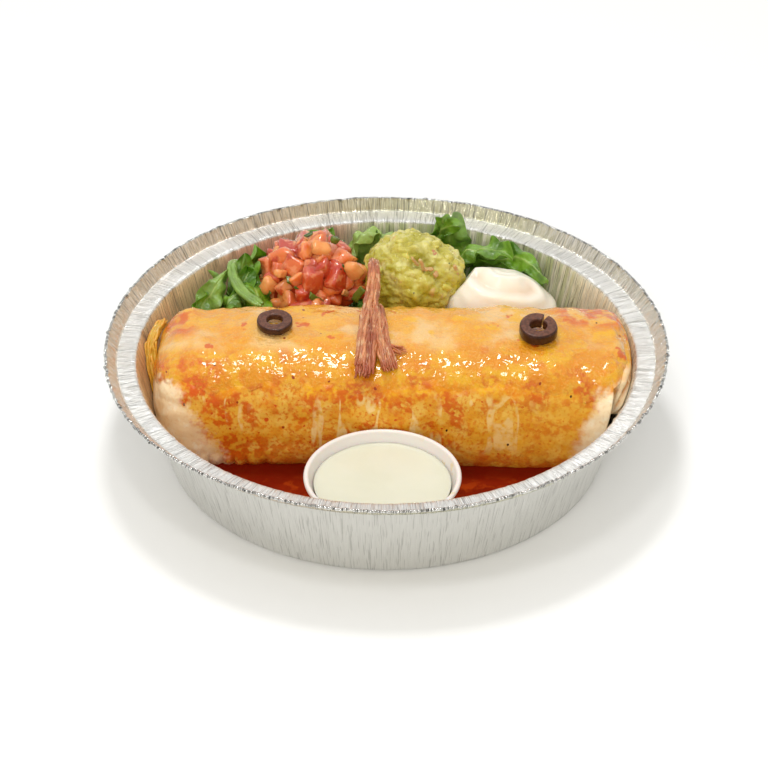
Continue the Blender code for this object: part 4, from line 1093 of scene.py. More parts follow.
scoopSizes = {
    "salsa": {"centre": (-0.0312, 0.0618, 0.0368), "radii": (0.0236, 0.0215, 0.0228), "foot": 0.0180,
              "core": 0.0048,
              "onion": [((-0.0490, 0.0520, 0.0430), (0.0080, 0.0060, 0.0100), (10, 20, 30)),
                        ((-0.0465, 0.0485, 0.0350), (0.0070, 0.0060, 0.0080), (30, 0, 10)),
                        ((-0.0440, 0.0500, 0.0500), (0.0070, 0.0040, 0.0040), (0, 30, 60)),
                        ((-0.0140, 0.0520, 0.0500), (0.0070, 0.0055, 0.0080), (20, -20, -20)),
                        ((-0.0270, 0.0560, 0.0590), (0.0090, 0.0060, 0.0040), (30, 10, 10))],
              "chilli": [((-0.0290, 0.0412, 0.0425), (0.0100, 0.0034, 0.0012), (60, 50, 30)),
                         ((-0.0118, 0.0440, 0.0430), (0.0080, 0.0040, 0.0014), (60, -60, 0)),
                         ((-0.0215, 0.0600, 0.0603), (0.0040, 0.0030, 0.0034), (20, 30, 40)),
                         ((-0.0405, 0.0480, 0.0480), (0.0030, 0.0030, 0.0010), (40, 0, 0))]},
    "guacamole": {"centre": (0.0122, 0.0622, 0.0388), "radii": (0.0222, 0.0216, 0.0226), "foot": 0.0160,
                  "forms": [((0.0150, 0.0505, 0.0570), 0.0048, -0.0032),
                            ((0.0200, 0.0480, 0.0545), 0.0030, -0.0016),
                            ((0.0040, 0.0500, 0.0560), 0.0050, 0.0015),
                            ((0.0045, 0.0449, 0.0489), 0.0060, 0.0014),
                            ((0.0133, 0.0427, 0.0478), 0.0050, 0.0014),
                            ((0.0310, 0.0536, 0.0478), 0.0040, 0.0016)],
                  "onion": [((0.0122, 0.0500, 0.0560), (0.0060, 0.0018, 0.0012), (30, 60, 20)),
                            ((0.0150, 0.0490, 0.0552), (0.0066, 0.0018, 0.0012), (20, 70, -20)),
                            ((0.0180, 0.0478, 0.0535), (0.0050, 0.0020, 0.0014), (30, 20, 40)),
                            ((0.0210, 0.0470, 0.0515), (0.0040, 0.0024, 0.0014), (50, 0, 70)),
                            ((0.0296, 0.0530, 0.0500), (0.0050, 0.0018, 0.0014), (20, 70, 0))]},
    "cream": {"centre": (0.0465, 0.0553, 0.0300), "radii": (0.0256, 0.0172, 0.0168), "foot": 0.0150,
              "groove": [(0.0385, 0.0560), (0.0400, 0.0520), (0.0430, 0.0492), (0.0475, 0.0475),
                         (0.0535, 0.0472), (0.0590, 0.0490), (0.0612, 0.0520)]},
    "salsaWall": ((-0.0089, 0.0620, 0.0370), (1.0, 0.0, 0.0)),
    "creamWall": ((0.0275, 0.0560, 0.0330), (0.80, -0.30, -0.52)),
}


def pressFlat(points, wall, way):
    # squeezes what crosses a wall softly back against it
    centre, normal = np.array(wall[0]), np.array(wall[1]) / np.linalg.norm(wall[1]) * way
    beyond = (points - centre) @ normal
    return points - np.where(beyond > 0, beyond * 0.93 + 0.0001, 0)[..., None] * normal


def ballGrid(s, rows, columns, shrink=0.0):
    polar = np.linspace(0, math.pi, rows + 2)[1:-1][:, None]
    turn = (np.arange(columns) / columns * 2 * math.pi)[None, :]
    way = np.stack([np.sin(polar) * np.cos(turn), np.sin(polar) * np.sin(turn), np.cos(polar) + 0 * turn], -1)
    way = np.concatenate([way.reshape(-1, 3), [[0, 0, 1], [0, 0, -1]]])
    points = np.array(s["centre"]) + way * (np.array(s["radii"]) - shrink)
    return way, points, ringFaces(rows, columns, rows * columns, rows * columns + 1)


def diceBit(name, size, seed, roundness=0.22):
    rng = random.Random(seed)
    bm = bmesh.new()
    bmesh.ops.create_cube(bm, size=1.0)
    for v in bm.verts:
        v.co = Vector([c * s * rng.uniform(0.52, 1.20) for c, s in zip(v.co, size)])
    bmesh.ops.bevel(bm, geom=bm.edges[:], offset=min(size) * roundness, segments=2, profile=0.6,
                    affect="EDGES")
    bmesh.ops.subdivide_edges(bm, edges=[e for e in bm.edges if e.calc_length() > 0.003], cuts=2,
                              use_grid_fill=True)
    for v in bm.verts:
        v.co += v.co.normalized() * (0.0010 * noise.noise(v.co * 230 + Vector((seed, 0, 0)))
                                     + 0.0003 * noise.noise(v.co * 700))
    bmesh.ops.recalc_face_normals(bm, faces=bm.faces)
    mesh = bpy.data.meshes.new(name)
    bm.to_mesh(mesh)
    bm.free()
    mesh.shade_smooth()
    return bpy.data.objects.new(name, mesh)


def diceCollection(name, seed, *bits):
    # each bit by its three sizes and its roundness
    return bitCollection(name, [diceBit("%s%d" % (name, n), bit[:3], seed + n, bit[3]) for n,
                                bit in enumerate(bits)])


def bitCollection(name, bits):
    made = bpy.data.collections.new(name)
    for bit in bits:
        made.objects.link(bit)
    return made


def dropCollection(collection):
    for bit in list(collection.objects):
        bpy.data.objects.remove(bit)
    bpy.data.collections.remove(collection)


def scatter(name, surface, bits, finish, slotName, **values):
    mesh = growMesh(surface, strew, {**values, "Bits": bits, "Finish": finish})
    points = keepInPan([v.co for v in mesh.vertices], 0.0006)
    points[:, 2] = np.maximum(points[:, 2], 0.0012)
    mesh.vertices.foreach_set("co", points.ravel())
    piece = pieceFromMesh(name, mesh, finish)
    mesh.shade_smooth()
    return place(piece, slotName)


def setBits(name, places, finish, slotName):
    # single bits put down one by one: (place, size, turns about x, y and z in degrees)
    bm = bmesh.new()
    for n, (where, size, turns) in enumerate(places):
        bit = diceBit("bit", size, 60 + n, 0.32)
        turned = Matrix.LocRotScale(None, Euler([math.radians(t) for t in turns]), None)
        bit.data.transform(Matrix.Translation(where) @ turned)
        bm.from_mesh(bit.data)
        bpy.data.objects.remove(bit)
    mesh = bpy.data.meshes.new(name)
    bm.to_mesh(mesh)
    bm.free()
    mesh.shade_smooth()
    fillAttribute(mesh, "tint", 0.3)
    return place(pieceFromMesh(name, mesh, finish), slotName)


def tomatoFinish():
    f = Finish("dicedTomato", {"Roughness": 0.20, "Subsurface Weight": 0.30, "Subsurface Scale": 0.003,
                               "Subsurface Radius": (1.0, 0.20, 0.06), "Coat Weight": 0.8,
                               "Coat Roughness": 0.06})
    f.set("Base Color", f.coats(
        f.mix(f.attribute("tint"), (0.48, 0.030, 0.010), (0.76, 0.185, 0.040)),
        (f.times(f.patches(75, 0.50, 0.60, 3.0), 0.9), (0.84, 0.33, 0.090)),
        (f.times(f.patches(240, 0.50, 0.64, 5.0), 0.6), (0.80, 0.30, 0.13)),
        (f.times(f.patches(150, 0.54, 0.64, 5.0), 0.85), (0.46, 0.022, 0.006)),
        (f.flecks(330, 0.15, 0.07), (0.045, 0.035, 0.006))))
    f.relief(560, 0.5, 0.0006, 4.0)
    return f.material


def plainFoodFinish(name, light, dark, roughness, scale=500):
    f = Finish(name, {"Roughness": roughness, "Subsurface Weight": 0.25, "Subsurface Scale": 0.002})
    tone = f.mix(f.attribute("tint"), light, dark)
    f.set("Base Color", f.mix(f.times(f.patches(scale, 0.45, 0.62, 4.0), 0.5), tone, dark))
    f.relief(scale * 2, 0.4, 0.0003, 4.0)
    return f.material


def makeSalsa():
    s = scoopSizes["salsa"]
    way, points, faces = ballGrid(s, 60, 90, s["core"])
    points = points + way * (0.0022 * lumps(points, 150, 3.3) + 0.0012 * lumps(points, 340))[..., None]
    points = pressFlat(points, scoopSizes["salsaWall"], 1)
    points[:, 2] = np.maximum(points[:, 2], s["foot"])
    pulp = plainFoodFinish("tomatoPulp", (0.50, 0.060, 0.012), (0.26, 0.016, 0.004), 0.2, 260)
    core = addPiece("salsaCore", points, faces, pulp, {"tint": np.full(len(points), 0.4)})
    place(outwards(core), "diced_tomato", "pico_de_gallo")
    dice = diceCollection("tomatoDice", 1, (0.0150, 0.0120, 0.0080, 0.24), (0.0118, 0.0108, 0.0086, 0.28),
                          (0.0172, 0.0098, 0.0066, 0.24), (0.0110, 0.0100, 0.0084, 0.26),
                          (0.0138, 0.0130, 0.0058, 0.30), (0.0094, 0.0086, 0.0064, 0.28))
    scatter("salsaTomato", core, dice, tomatoFinish(), "diced_tomato", Spacing=0.0052, Density=90000.0,
            Sink=-0.0004, Smallest=0.62, Largest=1.06, Tilt=0.9, Seed=7)
    chopped = plainFoodFinish("choppedOnion", (0.80, 0.42, 0.17), (0.74, 0.28, 0.08), 0.2)
    onion = diceCollection("onionBits", 11, (0.0076, 0.0056, 0.0024, 0.4), (0.0088, 0.0042, 0.0026, 0.4))
    scatter("salsaOnion", core, onion, chopped, "diced_tomato", Spacing=0.0115, Density=9000.0,
            Sink=-0.0022, Smallest=0.6, Largest=1.1, Tilt=0.5, Seed=3)
    green = plainFoodFinish("choppedHerbs", (0.10, 0.17, 0.02), (0.05, 0.09, 0.01), 0.4)
    herb = diceCollection("herbBits", 21, (0.0042, 0.0026, 0.0007, 0.3), (0.0030, 0.0022, 0.0006, 0.3))
    scatter("salsaHerbs", core, herb, green, "lettuce_leaf", Spacing=0.0090, Density=9000.0,
            Sink=-0.0046, Smallest=0.5, Largest=1.1, Tilt=0.6, Seed=12)
    soft = plainFoodFinish("softOnion", (0.82, 0.39, 0.13), (0.76, 0.22, 0.05), 0.18, 200)
    setBits("onionPieces", s["onion"], soft, "diced_tomato")
    chilli = plainFoodFinish("greenChilli", (0.16, 0.20, 0.02), (0.06, 0.09, 0.01), 0.2, 260)
    setBits("chilliSlices", s["chilli"], chilli, "lettuce_leaf")
    for used in (dice, onion, herb):
        dropCollection(used)


def avocadoFinish():
    f = Finish("mashedAvocado", {"Subsurface Weight": 0.3, "Subsurface Scale": 0.003,
                                 "Subsurface Radius": (0.8, 0.9, 0.2), "Coat Weight": 0.15,
                                 "Coat Roughness": 0.2})
    x, y, z = f.axes()
    pinkish = f.patches(150, 0.62, 0.70, 4.0, f.stretched((1.2, 1.0, 0.9)))
    f.set("Base Color", f.coats(
        f.mix(f.patches(95, 0.36, 0.62, 5.0), (0.56, 0.48, 0.080), (0.43, 0.385, 0.035)),
        # painted light: paler on top, where the light falls
        (f.times(f.patches(150, 0.46, 0.62, 5.0), f.ramp(z, 0.040, 0.054)), (0.68, 0.62, 0.22)),
        (f.times(f.patches(130, 0.54, 0.62, 4.0), f.ramp(z, 0.050, 0.042)), (0.56, 0.46, 0.018)),
        (f.times(pinkish, 0.7), (0.60, 0.36, 0.13)),
        # painted shade: darker in the hollows between the lumps
        (f.attribute("hollowPaintedShade"), (0.36, 0.32, 0.030)),
        (f.flecks(330, 0.14, 0.06), (0.12, 0.10, 0.02))))
    f.set("Roughness", f.ramp(f.patches(300, 0.3, 0.7), 0, 1, 0.24, 0.46))
    f.relief(620, 0.7, 0.0007, 5.0)
    return f.material


def makeGuacamole():
    s = scoopSizes["guacamole"]
    way, points, faces = ballGrid(s, 210, 300)
    base = points.copy()
    billow = np.abs(lumps(base, 85, 2.0)) * 2.2 - 0.6
    small = np.abs(lumps(base, 210, 6.0)) * 2.2 - 0.6
    rough = 0.0024 * lumps(base, 50, 4.4) + 0.0016 * billow + 0.0009 * small
    rough = rough + 0.0006 * lumps(base, 420) + 0.0003 * lumps(base, 850)
    for spot, radius, rise in s["forms"]:
        rough = rough + rise * np.exp(-(np.linalg.norm(base - np.array(spot), axis=-1) / radius) ** 2)
    points = points + way * (rough - 0.0006)[..., None]
    points = pressFlat(pressFlat(points, scoopSizes["salsaWall"], -1), scoopSizes["creamWall"], 1)
    points[:, 2] = np.maximum(points[:, 2], s["foot"])

    # painted shade: darker colour in the hollows between the lumps
    hollowPaintedShade = smoothStep(-rough, 0.0004, 0.0034) * 0.75
    scoop = outwards(addPiece("guacamoleScoop", points, faces, avocadoFinish(), {"hollowPaintedShade": hollowPaintedShade}))
    place(scoop, "mashed_avocado", "guacamole")
    lump = plainFoodFinish("avocadoLump", (0.70, 0.62, 0.17), (0.54, 0.48, 0.06), 0.35)
    bits = diceCollection("avocadoBits", 31, (0.0040, 0.0030, 0.0022, 0.34), (0.0030, 0.0026, 0.0022, 0.34))
    scatter("avocadoLumps", scoop, bits, lump, "mashed_avocado", Spacing=0.0080, Density=9000.0,
            Sink=0.0009, Smallest=0.7, Largest=1.5, Tilt=0.8, Seed=7)
    redOnion = plainFoodFinish("redOnion", (0.66, 0.38, 0.20), (0.50, 0.20, 0.09), 0.35)
    pink = diceCollection("pinkBits", 41, (0.0034, 0.0022, 0.0012, 0.3), (0.0046, 0.0020, 0.0012, 0.3))
    scatter("guacamoleOnion", scoop, pink, redOnion, "mashed_avocado", Spacing=0.0150, Density=5000.0,
            Sink=0.0005, Smallest=0.6, Largest=1.1, Tilt=0.5, Seed=15)
    cooked = plainFoodFinish("cookedOnion", (0.62, 0.42, 0.17), (0.52, 0.28, 0.10), 0.3)
    setBits("onionSlices", s["onion"], cooked, "mashed_avocado")
    for used in (bits, pink):
        dropCollection(used)


def makeCream():
    s = scoopSizes["cream"]
    way, points, faces = ballGrid(s, 200, 300)
    centre, radii = np.array(s["centre"]), np.array(s["radii"])
    local = (points - centre) / radii
    upper = smoothStep(local[:, 2], 0.0, 0.5)
    points[:, 2] -= 0.0030 * upper * smoothStep(local[:, 0], 0.25, 1.0)
    path = smoothPath([(*p, 0) for p in s["groove"]], 60)[:, :2]
    nearest = np.full(len(points), 1.0)
    for a, b in zip(path[:-1], path[1:]):
        t = np.clip(((points[:, :2] - a) @ (b - a)) / ((b - a) @ (b - a)), 0, 1)
        nearest = np.minimum(nearest, np.linalg.norm(points[:, :2] - a - t[:, None] * (b - a), axis=1))
    # the groove of the swirl, which sinks the surface and also carries its painted shade
    foldAndPaintedShade = np.exp(-((nearest / 0.0026) ** 2)) * upper
    lip = np.exp(-(((nearest - 0.0055) / 0.0030) ** 2)) * upper
    points[:, 2] += 0.0009 * lip - 0.0018 * foldAndPaintedShade
    rings = np.sin(nearest * 1500 + 2 * lumps(points, 60))
    points += way * (0.00012 * rings * upper + 0.0009 * lumps(points, 55, 1.0)
                     + 0.00025 * lumps(points, 190))[..., None]
    pressed = pressFlat(points, scoopSizes["creamWall"], -1)
    tail = smoothStep(points[:, 1], 0.056, 0.046)[:, None]
    points = pressed * (1 - tail) + points * tail
    points[:, 2] = np.maximum(points[:, 2], s["foot"])
    f = Finish("culturedCream", {"Roughness": 0.30, "Subsurface Weight": 0.35, "Subsurface Scale": 0.004,
                                 "Subsurface Radius": (1.0, 0.8, 0.55), "Coat Weight": 0.1,
                                 "Coat Roughness": 0.2})
    tone = f.mix(f.patches(70, 0.4, 0.65, 3.0), (0.89, 0.84, 0.73), (0.88, 0.81, 0.67))
    # painted shade: tan in the groove of the swirl
    f.set("Base Color", f.mix(f.attribute("foldAndPaintedShade"), tone, (0.80, 0.60, 0.41)))
    f.relief(260, 0.12, 0.0005, 3.0)
    foldAndPaintedShade = foldAndPaintedShade * (0.35 + 0.65 * np.abs(local[:, 0]))
    cream = addPiece("sourCream", points, faces, f.material, {"foldAndPaintedShade": foldAndPaintedShade})
    place(outwards(cream), "cultured_cream", "sour_cream")


# lettuce

lettuceSizes = {
    "front": 0.0385, "top": 0.0170, "halfLength": 0.0720, "thickness": 0.00045, "rows": 44, "columns": 25,
    # root, middle of the rib, tip and half width in mm, direction across, phase, paleness
    "leaves": [
        ((-66, 50, 12), (-80, 52, 32), (-70, 54, 46), 9, (0.35, 0.94, 0), 0.4, 0.18),
        ((-58, 46, 12), (-64, 58, 36), (-60, 66, 50), 7, (0.9, 0.2, 0.3), 1.7, 0.1),
        ((-56, 60, 13), (-62, 72, 34), (-54, 74, 47), 8.5, (0.75, 0.65, 0), 3, 0),
        ((-70, 42, 12), (-74, 47, 28), (-66, 47, 40), 7.5, (0.8, 0.5, 0), 5.1, 0.3),
        ((-34, 84, 13), (-34, 91, 34), (-27, 87, 49.5), 10, (1, 0, 0), 0.9, 0),
        ((-8, 84, 13), (-8, 94, 34), (-4, 87, 47.5), 12, (1, 0, 0.15), 2.2, 0.6),
        ((26, 85, 13), (27, 93, 38), (28, 87, 55.5), 9.5, (1, 0.1, -0.1), 0.2, 0.24),
        ((44, 72, 13), (48, 84, 32), (42, 76, 45), 11, (0.95, -0.3, 0), 1.1, 0.15),
        ((60, 68, 12), (63, 74, 30), (59, 70, 41), 8.5, (0.75, -0.66, -0.2), 2.6, 0.05),
    ],
    # smaller crumpled leaves that fill the corners
    "loose": [
        ((-77, 38, 30), (-76, 44, 45), (-67, 56, 47), 5.2, (0.9, 0.1, -0.3), 0.8, 0.3),
        ((-62, 38, 30), (-62, 48, 47), (-56, 62, 47), 5, (0.9, 0.3, -0.2), 4, 0),
        ((-52, 36, 30), (-53, 46, 46), (-60, 60, 44), 5.5, (0.95, 0.2, 0.1), 2.9, 0),
        ((-68, 34, 32), (-68, 40, 44), (-60, 46, 42), 5, (0.7, -0.5, 0.2), 1.2, 0.12),
        ((-76, 32, 28), (-77, 40, 41), (-72, 50, 44), 4.8, (0.6, 0.6, -0.3), 5.7, 0.05),
        ((30, 78, 34), (42, 78, 52), (54, 68, 46), 5.8, (0.35, 0.8, 0.35), 0.5, 0.1),
        ((40, 80, 34), (56, 76, 50), (68.5, 58, 39), 4.6, (0.45, 0.75, 0.35), 3.3, 0.04),
        ((46, 76, 26), (58, 71, 41), (67, 58, 34), 5.2, (0.5, 0.7, 0.3), 1.6, 0.02),
        ((-18, 86, 30), (-14, 90, 46), (-2, 84, 47.5), 6, (0.6, 0.6, 0.4), 4.4, 0.65),
        ((18, 88, 34), (20, 90, 50), (32, 84, 52), 6, (0.4, 0.3, 0.8), 2.4, 0.08),
    ],
    "stem": [(-0.0645, 0.068, 0.0450), (-0.0655, 0.060, 0.0478), (-0.0648, 0.051, 0.0475),
             (-0.0605, 0.042, 0.0455), (-0.0520, 0.034, 0.0440)],
}


def lettuceFinish():
    f = Finish("lettuceLeaf", {"Roughness": 0.26, "Subsurface Weight": 0.12, "Subsurface Scale": 0.002,
                               "Subsurface Radius": (0.4, 1.0, 0.15), "Coat Weight": 0.3,
                               "Coat Roughness": 0.15})
    blade = f.mix(f.patches(120, 0.38, 0.62, 5.0), (0.052, 0.150, 0.004), (0.150, 0.320, 0.013))
    blade = f.mix(f.attribute("pale"), blade, (0.42, 0.56, 0.15))
    f.set("Base Color", f.mix(f.attribute("rib"), blade, (0.40, 0.53, 0.14)))
    f.relief(420, 0.9, 0.0010, 5.0)
    return f.material


def leafGrid(root, middle, tip, halfWidth, across, phase, rows, columns):
    t = np.linspace(0, 1, rows)[:, None, None]
    side = np.linspace(-1, 1, columns)[None, :, None]
    root, middle, tip = (np.array(p) for p in (root, middle, tip))
    across = np.array(across, float) / np.linalg.norm(across)
    rib = root * (1 - t) ** 2 + middle * 2 * t * (1 - t) + tip * t * t
    ahead = (middle - root) * (1 - t) + (tip - middle) * t
    ahead = ahead / np.linalg.norm(ahead, axis=-1, keepdims=True)
    normal = np.cross(ahead, across)
    normal = normal / np.linalg.norm(normal, axis=-1, keepdims=True)
    width = halfWidth * (0.40 + 0.60 * np.sin(math.pi * np.clip(0.12 + 0.80 * t, 0, 1)))
    width = width * (1 + 0.06 * np.sin(13 * t + phase) + 0.04 * np.sin(31 * t + 2 * phase))
    width = width * np.maximum(np.sqrt(np.clip(1 - np.clip((t - 0.70) / 0.30, 0, 1) ** 2, 0, 1)), 0.15)
    edge = np.abs(side) ** 1.6
    ruffle = edge * (0.0021 * np.sin(19 * t + 3 * np.sign(side) + phase)
                     + 0.0004 * np.sin(41 * t + 2 * phase + 2 * side))
    cup = 0.0016 * np.sin(5 * t + 2.5 * side + phase) + 0.0012 * side * np.sin(9 * t + phase)
    slanted = np.abs(np.sin(19 * t - 6.5 * np.abs(side) + phase)) ** 0.5
    veins = 0.00035 * (1 - slanted) * (1 - 0.6 * np.abs(side))
    keel = 0.0009 * np.exp(-((side / 0.10) ** 2)) * (1 - 0.6 * t)
    sheet = rib + across * side * width
    folds = 0.0016 * (0.35 - np.abs(lumps(sheet, 150, phase + 3)))
    blister = (0.0017 * lumps(sheet, 120, phase) + folds + 0.0009 * lumps(sheet, 320, phase))[..., None]
    points = rib + across * (side * width) + normal * (ruffle + cup + veins + keel + blister)
    pale = np.clip(np.exp(-((side / 0.07) ** 2)) * (0.9 - 0.5 * t)
                   + 0.30 * (veins / 0.00035) * (1 - np.abs(side)), 0, 1)
    return points, np.broadcast_to(normal, points.shape), (pale + 0 * t)[..., 0]


def makeLettuce():
    s = lettuceSizes
    finish = lettuceFinish()
    rows, columns = s["rows"], s["columns"]
    points, faces, ribs, pales = [], [], [], []
    for *places, half, across, phase, pale in s["leaves"] + s["loose"]:
        grid, normal, rib = leafGrid(*np.array(places) / 1000, half / 1000, across, phase, rows, columns)
        offset = normal * s["thickness"] / 2
        both = keepInPan(np.stack([grid + offset, grid - offset]), 0.0008)
        start = sum(len(p) for p in points)
        points.append(both.reshape(-1, 3))
        faces += [tuple(start + i for i in face) for face in sheetFaces(rows, columns)]
        ribs.append(np.concatenate([rib.ravel(), rib.ravel()]))
        pales.append(np.full(2 * rows * columns, pale))
    leaves = addPiece("lettuceLeaves", np.concatenate(points), faces, finish,
                      {"rib": np.concatenate(ribs), "pale": np.concatenate(pales)})
    place(outwards(leaves), "lettuce_leaf", "lettuce")

    stem = strandObject("stemPath", smoothPath(s["stem"], 40))
    mesh = growMesh(stem, strands, {"Strands": 6, "Spread": 0.0014, "Flatness": 0.6, "Radius": 0.0010,
                                    "Roughness": 0.0016, "Seed": 3, "Finish": finish})
    bpy.data.objects.remove(stem)
    mesh.shade_smooth()
    fillAttribute(mesh, "pale", 0.3)
    place(outwards(pieceFromMesh("lettuceStem", mesh, finish)), "lettuce_leaf")

    # the bed under the scoops
    across, deep = 150, 60
    u, v = np.linspace(-1, 1, across)[:, None], np.linspace(0, 1, deep)[None, :]
    x = u * s["halfLength"] * 1.04
    back = np.sqrt(np.maximum((float(panInside(s["top"])) - 0.0008) ** 2 - x * x, 0.0016))
    y = s["front"] + (back - s["front"]) * v
    surface = np.stack([x + 0 * y, y, np.full_like(y, s["top"])], -1)
    uneven = 0.0020 * lumps(surface, 130, 0.0) + 0.0015 * lumps(surface, 330)
    frontDrop = 0.006 * (1 - smoothStep(v, 0, 0.06))
    surface[..., 2] += uneven - frontDrop - 0.005 * (1 - smoothStep(1 - np.abs(u), 0, 0.06))
    under = surface.copy()
    under[..., 2] = 0.0012
    bedPoints = keepInPan(np.stack([surface, under]), 0.0006)
    flat = np.zeros(2 * across * deep)
    bed = addPiece("lettuceBed", bedPoints.reshape(-1, 3), sheetFaces(across, deep), finish,
                   {"rib": flat, "pale": flat + 0.1})
    place(outwards(bed), "lettuce_leaf")

    # shredded strips strewn over the bed
    strips = []
    for k in range(5):
        middle, tip, across = (0.002 * k - 0.004, 0.001, 0.0045), (0, 0.010, 0.0006 * k), (1, 0,
                0.2 * k - 0.4)
        grid, normal, rib = leafGrid((0, -0.008, 0), middle, tip, 0.0022 + 0.0004 * k, across, k, 14, 7)
        both = np.stack([grid + normal * 0.0002, grid - normal * 0.0002])
        strip = addPiece("strip%d" % k, both.reshape(-1, 3), sheetFaces(14, 7), finish,
                         {"rib": np.concatenate([rib.ravel(), rib.ravel()]) * 0.8,
                          "pale": np.full(2 * 98, 0.12 * k)})
        bpy.context.scene.collection.objects.unlink(outwards(strip))
        strips.append(strip)
    strips = bitCollection("lettuceStrips", strips)
    scatter("lettuceShreds", bed, strips, finish, "lettuce_leaf", Spacing=0.0052, Density=30000.0,
            Sink=-0.0008,
            Smallest=0.55, Largest=0.95, Tilt=0.35, Seed=8)
    dropCollection(strips)


# sauce

sauceSizes = {"level": 0.0082, "halfLength": 0.0840, "stations": 300, "rows": 70, "cupGap": 0.0003,
              "holeTop": 0.0258}


def sauceFinish():
    f = Finish("redChilliSauce", {"Roughness": 0.18, "Specular IOR Level": 0.14, "Subsurface Weight": 0.15,
                                  "Subsurface Scale": 0.003, "Subsurface Radius": (1.0, 0.2, 0.05)})
    x, y, z = f.axes()
    f.set("Base Color", f.coats(
        f.mix(f.patches(40, 0.35, 0.65, 4.0), (0.17, 0.007, 0.002), (0.27, 0.018, 0.003)),
        (f.times(f.patches(150, 0.50, 0.64, 6.0), 0.7), (0.44, 0.055, 0.005)),
        (f.ramp(y, -0.046, -0.034), (0.17, 0.008, 0.002)),  # painted shade: darker under the roll's edge
        (f.flecks(420, 0.15, 0.08), (0.16, 0.015, 0.003))))
    f.relief(190, 0.22, 0.0006, 4.0)
    return f.material


def circle(x, y, z, radius, count):
    turn = np.arange(count) / count * 2 * math.pi
    return np.stack([x + radius * np.cos(turn), y + radius * np.sin(turn), np.full(count, z)], -1)


def makeSauce():
    s, b = sauceSizes, burritoSizes
    x = np.linspace(-s["halfLength"], s["halfLength"], s["stations"])[:, None]
    v = np.linspace(0, 1, s["rows"])[None, :]
    wall = -np.sqrt(np.maximum((float(panInside(s["level"])) - 0.0003) ** 2 - x * x, 0.0))
    depth = min(1.0, (b["body"][1] - s["level"]) / b["body"][5])
    front = b["body"][2] + b["frontSpread"] * np.sin(x / b["right"] * math.pi / 2)
    edge = b["body"][0] - front * (1 - depth ** b["bottomPower"]) ** (1 / b["bottomPower"]) + 0.0012
    edge = np.maximum(edge, wall + 0.0005)
    y = wall + (edge - wall) * v
    top = np.stack([x + 0 * y, y, np.full_like(y, s["level"])], -1)
    nearWall = np.exp(-(y - wall) / 0.0012) + np.exp(-(edge - y) / 0.0016)
    top[..., 2] += 0.0004 * lumps(top, 60) + 0.0002 * lumps(top, 220) + 0.0007 * nearWall
    low = top.copy()
    low[..., 2] = 0.0012
    cup = [cupSizes["x"], cupSizes["y"]]
    both = keepInPan(np.stack([top, low]), 0.0002)
    pool = outwards(addPiece("saucePool", both.reshape(-1, 3), sheetFaces(s["stations"], s["rows"]),
                             sauceFinish()))
    rings = [(cupSizes["foot"] + s["cupGap"], -0.001), (s["holeTop"], 0.014)]
    cutter = np.vstack([*[circle(*cup, z, r, 96) for r, z in rings], [[*cup, -0.001], [*cup, 0.014]]])
    hole = outwards(addPiece("roomForCup", cutter, ringFaces(2, 96, 192, 193), pool.data.materials[0]))
    cut = pool.modifiers.new("cup", "BOOLEAN")
    cut.operation, cut.object, cut.solver = "DIFFERENCE", hole, "EXACT"
    graph = bpy.context.evaluated_depsgraph_get()
    mesh = bpy.data.meshes.new_from_object(pool.evaluated_get(graph))
    pool.modifiers.clear()
    pool.data = mesh
    bpy.data.objects.remove(hole)
    mesh.shade_smooth()
    mesh.set_sharp_from_angle(angle=math.radians(50))
    return place(pool, "red_chilli_sauce", "enchilada_sauce")


# cup and dip

cupSizes = {
    "x": -0.0014, "y": -0.0650, "z": 0.0009, "height": 0.0290, "foot": 0.0205, "mouth": 0.0290, "lip": 0.0315,
    "wall": 0.0008, "segments": 160, "dipBelow": 0.0045,
}


def turnedPiece(name, outline, finish, segments, middle, shake=None):
    x, y, base = middle
    points = np.concatenate([circle(x, y, base + z, r, segments) for r, z in outline])
    if shake is not None:
        points = shake(points)
    count = len(points)
    poles = [[x, y, points[:segments, 2].mean()], [x, y, points[-segments:, 2].mean()]]
    faces = ringFaces(len(outline), segments, count, count + 1)
    return outwards(addPiece(name, np.vstack([points, poles]), faces, finish))


